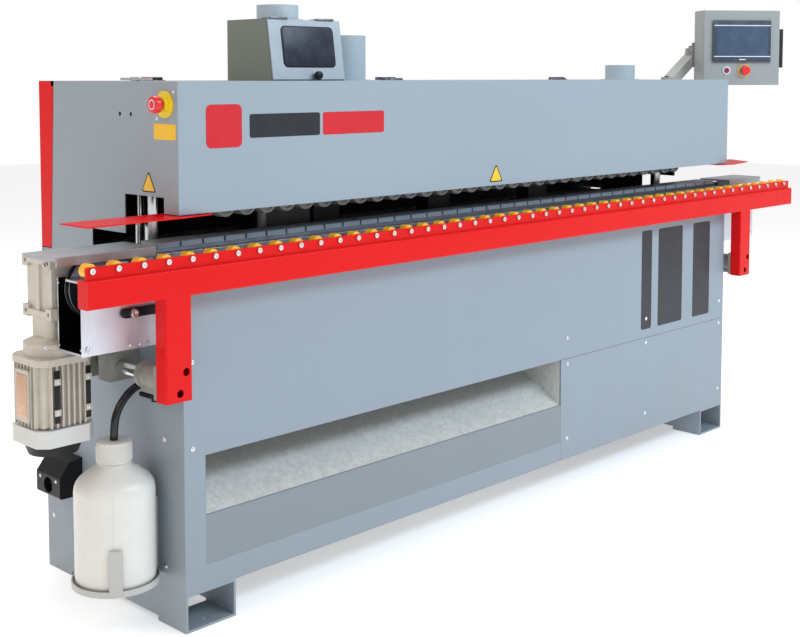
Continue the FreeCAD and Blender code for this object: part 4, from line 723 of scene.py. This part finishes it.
def make_marks(looks):
    """Plain printed shapes: the hood's bars, the cabinet's bars, and the blank yellow signs."""
    shape = bmesh.new()
    square = facing((-1.060, HOOD_FRONT, 1.161), FRONT)
    add_plate(shape, rounded(0.104, 0.100, 0.014), square, PRINT_THICKNESS)
    bar = facing((-0.646, HOOD_FRONT, 1.159), FRONT)
    add_plate(shape, rounded(0.214, 0.056, 0.006), bar, PRINT_THICKNESS)
    piece("hood_mark_red", shape, looks["print_red"], "machine")
    make_label("hood_mark_dark", (-0.874, HOOD_FRONT, 1.159), FRONT,
               [(0.0, rounded(0.222, 0.056, 0.006))], looks["print_dark"])
    bars = [(x, rounded(width, 0.330, 0.008)) for x, width in ((0.690, 0.060), (0.835, 0.150), (1.035, 0.110))]
    make_label("cabinet_mark", (0.0, CABINET_FRONT, 0.600), FRONT, bars, looks["print_dark"])
    signs = (("front_sign", (-0.084, HOOD_FRONT, 0.991), FRONT, 0.060),
             ("end_sign", (CABINET_LEFT, -0.176, 1.026), LEFT, 0.058))
    for name, centre, sides, size in signs:
        make_label(name + "_rim", centre, sides, [(0.0, triangle(size, 0.004))], looks["print_dark"])
        right, up = (Vector(side) for side in sides)
        raised = Vector(centre) + right.cross(up) * PRINT_THICKNESS
        make_label(name + "_field", raised, sides, [(0.0, triangle(size * 0.82, 0.003))],
                   looks["print_yellow"], PRINT_THICKNESS / 2)
    make_label("end_label", (CABINET_LEFT, -0.242, 1.150), LEFT,
               [(0.0, rounded(0.084, 0.036, 0.003))], looks["print_yellow"])


# ---------------------------------------------------------------- operator panel

def make_panel(looks):
    """Glass front with its display field and light rules."""
    body = "operator_panel"
    shape = bmesh.new()
    add_plate(shape, rounded(0.228, 0.158, 0.005), on_panel(-0.002, 0.024, 0.0061), 0.0012, 0.0005)
    piece("panel_glass", shape, looks["glass"], body)
    shape = bmesh.new()
    add_plate(shape, rounded(0.200, 0.112, 0.002), on_panel(0.000, 0.026, 0.0073), 0.0003)
    piece("panel_display", shape, looks["display"], body)
    shape = bmesh.new()
    for z, width, height in ((0.0835, 0.222, 0.0035), (-0.0325, 0.222, 0.0035), (-0.044, 0.026, 0.004)):
        add_plate(shape, rounded(width, height, 0.001), on_panel(0.0, z, 0.0076), PRINT_THICKNESS / 2)
    piece("panel_rules", shape, looks["print_pale"], body)


# ---------------------------------------------------------------- glue box door

DOOR_LOW = Vector((-0.6235, -0.1006, 1.267))
DOOR_TOP = Vector((-0.6235, -0.0779, 1.425))


def make_door(looks):
    """Window with its gasket, black knob and the two hinges on the door's own hinge line."""
    body = "glue_front"
    up = (DOOR_TOP - DOOR_LOW).normalized()
    face = facing(DOOR_LOW.lerp(DOOR_TOP, 0.545) + Vector((0.0055, 0, 0)), ((1, 0, 0), tuple(up)))
    shape = bmesh.new()
    add_plate(shape, rounded(0.184, 0.110, 0.014), face, 0.0014, 0.0005)
    piece("door_gasket", shape, looks["black"], body)
    shape = bmesh.new()
    add_plate(shape, rounded(0.177, 0.103, 0.012), face @ Matrix.Translation((0, 0, 0.0014)), 0.0008, 0.0003)
    piece("door_window_pane", shape, looks["window"], body)
    shape = bmesh.new()
    knob = facing((-0.6035, -0.1005, 1.278), FRONT)
    add_lathe(shape, [(0.0056, 0), (0.0064, 0.0005), (0.0060, 0.0045), (0.0094, 0.0055), (0.0108, 0.0085),
                      (0.0108, 0.0150), (0.0098, 0.0185), (0.0070, 0.0202), (0, 0.0206)], knob, 40)
    for index in range(10):
        turn = Matrix.Rotation(math.radians(36 * index), 4, "Z")
        rib = knob @ turn @ Matrix.Translation((0.0108, 0, 0.0118))
        add_block(shape, (0.0012, 0.0016, 0.0085), rib, 0.0003)
    piece("door_knob", shape, looks["black"], body)
    leaves = bmesh.new()
    barrels = bmesh.new()
    lift = next(joint for joint in RECORD_JOINTS if joint["name"] == "glue_door_lift")
    hinge_line = Vector(lift["pos_m"])
    quarter = Matrix.Rotation(math.pi / 2, 4, "Y")
    for x in (-0.7155, -0.5515):
        middle = facing((x, hinge_line.y + 0.0165, 1.4255), TOP)
        add_plate(leaves, rounded(0.066, 0.026, 0.003), middle, 0.0022, 0.0006)
        barrel = Matrix.Translation((x - 0.031, hinge_line.y, hinge_line.z)) @ quarter
        add_lathe(barrels, [(0, 0), (0.0024, 0), (0.0030, 0.001), (0.0030, 0.061), (0.0024, 0.062), (0, 0.062)],
                  barrel, 20)
        for dx in (-0.020, 0.020):
            add_pan_screw(leaves, middle @ Matrix.Translation((dx, 0.002, 0.0022)), 0.0038, 0.0020)
    piece("door_hinges", leaves, looks["dark_steel"], "machine")
    piece("door_hinge_barrels", barrels, looks["dark_steel"], body)


# ---------------------------------------------------------------- gear motor

def make_motor(looks):
    """Side recesses with their lugs, rating plate, flange bolts and gearbox bolts."""
    axis_x, axis_y = -1.395, -0.088
    bolt_reach = 0.053
    front = -0.158
    recess = bmesh.new()
    lugs = bmesh.new()
    bolts = bmesh.new()
    for x in (-1.424, -1.346):
        add_block(recess, (0.013, 0.118, 0.0016), facing((x, front, 0.570), FRONT), 0.0004)
        for z in (0.535, 0.604):
            spot = facing((x, front - 0.002, z), FRONT)
            add_block(lugs, (0.015, 0.014, 0.0055), spot, 0.0012)
            add_pan_screw(bolts, spot @ Matrix.Translation((0, 0, 0.0028)), 0.0032, 0.0014)
    piece("motor_recess", recess, looks["black"], "machine")
    piece("motor_lugs", lugs, looks["cast"], "machine")
    plate = bmesh.new()
    spot = facing((-1.4712, axis_y, 0.570), LEFT)
    add_plate(plate, rounded(0.044, 0.098, 0.003), spot, 0.0009, 0.0003)
    piece("motor_rating_plate", plate, looks["copper"], "machine")
    for y in (-0.018, 0.018):
        for z in (-0.044, 0.044):
            add_pan_screw(bolts, spot @ Matrix.Translation((y, z, 0.0009)), 0.0022, 0.0010)
    for index in range(4):
        angle = math.radians(45 + 90 * index)
        x = axis_x + bolt_reach * math.cos(angle)
        y = axis_y + bolt_reach * math.sin(angle)
        add_hex_bolt(bolts, Matrix.Translation((x, y, 0.6722)), 0.0062, 0.0065)
    low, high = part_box("gearbox_housing")
    for x in (low.x + 0.012, high.x - 0.052):
        for z in (low.z + 0.012, high.z - 0.012):
            add_socket_screw(bolts, facing((x, low.y - 0.0001, z), FRONT), 0.0048, 0.0040)
    piece("motor_screws", bolts, looks["screws"], "machine")


# ---------------------------------------------------------------- conveyor end and cabinet details

def make_beam_details(looks):
    """Slotted stop bar with its cap screw on the left cover, and the cover's small screws."""
    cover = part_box("beam_side_plates")[0].y
    bar = bmesh.new()
    add_plate(bar, rounded(0.118, 0.021, 0.0095), facing((-1.263, cover, 0.7545), FRONT), 0.006, 0.0008)
    piece("stop_bar", bar, looks["black"], "machine")
    screws = bmesh.new()
    add_socket_screw(screws, facing((-1.294, cover - 0.006, 0.7545), FRONT), 0.0095, 0.0100)
    for x, z in ((-1.405, 0.690), (-1.298, 0.682), (-1.272, 0.681), (-1.248, 0.680), (1.215, 0.690),
                 (1.466, 0.690), (1.466, 0.818), (1.215, 0.818)):
        add_pan_screw(screws, facing((x, cover, z), FRONT), 0.0042, 0.0022)
    for y in (-0.243, -0.157):
        for z in (0.686, 0.824):
            add_pan_screw(screws, facing((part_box("conveyor_beam")[0].x, y, z), LEFT), 0.0022, 0.0014)
    piece("beam_screws", screws, looks["screws"], "machine")


def make_cabinet_details(looks):
    """Screws of the hood's end and of the inlet, and the catches on the roof."""
    screws = bmesh.new()
    for y, z in ((-0.276, 1.240), (-0.212, 1.180)):
        add_pan_screw(screws, facing((CABINET_LEFT, y, z), LEFT), 0.0045, 0.0024)
    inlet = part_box("power_inlet")[0].x
    for y in (0.148, 0.222):
        add_pan_screw(screws, facing((inlet, y, 0.270), LEFT), 0.0045, 0.0022)
    piece("end_screws", screws, looks["screws"], "machine")
    catches = bmesh.new()
    for x in (-0.222, 0.576):
        base = facing((x, -0.010, ROOF), TOP)
        add_plate(catches, rounded(0.078, 0.026, 0.004), base, 0.0022, 0.0006)
        grip = base @ Matrix.Translation((0.010, 0, 0.0045))
        add_block(catches, (0.054, 0.016, 0.0050), grip, 0.0016)
        add_lathe(catches, [(0, 0), (0.0085, 0), (0.0085, 0.0055), (0.0070, 0.0070), (0, 0.0072)],
                  base @ Matrix.Translation((-0.028, 0, 0.0022)), 24)
    piece("roof_catches", catches, looks["dark_steel"], "machine")


# ---------------------------------------------------------------- bottle

def make_bottle(looks):
    """Blown bottle with a rounded shoulder, two mould seams, a neck bead and a knurled screw cap."""
    low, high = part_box("bottle")
    axis = Matrix.Translation(((low.x + high.x) / 2, (low.y + high.y) / 2, 0))
    radius = (high.x - low.x) / 2
    base = low.z
    outer = [(0.0, base + 0.004), (radius * 0.55, base + 0.004), (radius * 0.62, base), (radius - 0.012, base),
             (radius - 0.0045, base + 0.003), (radius - 0.0010, base + 0.009), (radius, base + 0.017),
             (radius, base + 0.060), (radius - 0.0002, 0.200), (radius, 0.300), (radius, 0.336),
             (radius - 0.0012, 0.346), (radius - 0.0046, 0.355), (radius - 0.0110, 0.3640),
             (radius - 0.0220, 0.3735), (radius - 0.0340, 0.3820), (radius - 0.0450, 0.3890),
             (0.0400, 0.3940), (0.0372, 0.3965), (0.0366, 0.3985), (0.0392, 0.3993), (0.0392, 0.4010),
             (0.0366, 0.4018)]
    shape = bmesh.new()
    add_lathe(shape, outer + [(0.0360, 0.4018), (0.0360, 0.4380), (0.0340, 0.4380)], axis, 96)
    for turn in (55, 235):
        along = axis @ Matrix.Rotation(math.radians(turn), 4, "Z")
        add_block(shape, (0.0007, 0.0009, 0.200), along @ Matrix.Translation((radius, 0, 0.235)), 0.0002)
    made = piece("bottle_blown", shape, looks["bottle"], "machine", 60)
    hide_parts("bottle")
    shape = bmesh.new()
    add_lathe(shape, [(0.0380, 0.4025), (0.0404, 0.4025), (0.0410, 0.4045), (0.0402, 0.4060), (0.0402, 0.4400),
                      (0.0400, 0.4450), (0.0385, 0.4485), (0.0350, 0.4500), (0.0110, 0.4500), (0.0100, 0.4495),
                      (0.0098, 0.4480), (0, 0.4480)], axis, 96)
    for index in range(72):
        turn = Matrix.Rotation(math.radians(5 * index), 4, "Z")
        rib = axis @ turn @ Matrix.Translation((0.0404, 0, 0.4245))
        add_block(shape, (0.0014, 0.0016, 0.0350), rib, 0.0005)
    made = piece("cap_screwed", shape, looks["bottle"], "machine", 40)
    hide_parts("bottle_cap")


def make_stops(looks):
    """Collars under the push-buttons and the ring on each stop's head."""
    collar = bmesh.new()
    add_lathe(collar, [(0.0105, 0), (0.0250, 0), (0.0250, 0.0026), (0.0215, 0.0056), (0.0105, 0.0062)],
              on_panel(0.010, -0.085), 40)
    piece("panel_stop_collar", collar, looks["yellow"], "operator_panel")
    ring = bmesh.new()
    add_lathe(ring, [(0.0105, 0), (0.0155, 0), (0.0155, 0.0030), (0.0138, 0.0046), (0.0105, 0.0046)],
              on_panel(-0.059, -0.085), 40)
    piece("start_collar", ring, looks["print_pale"], "operator_panel")
    ring = bmesh.new()
    place = facing((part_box("side_stop_button")[0].x, -0.245, 1.212), LEFT)
    add_lathe(ring, [(0.0085, -0.0006), (0.0095, 0.0006), (0.0112, 0.0006), (0.0122, -0.0006)], place, 36)
    piece("side_stop_ring", ring, looks["print_pale"], "side_stop")


make_camera()
make_studio()
LOOKS = make_looks()
make_hose(LOOKS)
dress_nodes(LOOKS)
make_marks(LOOKS)
make_panel(LOOKS)
make_stops(LOOKS)
make_door(LOOKS)
make_motor(LOOKS)
make_beam_details(LOOKS)
make_cabinet_details(LOOKS)
make_bottle(LOOKS)
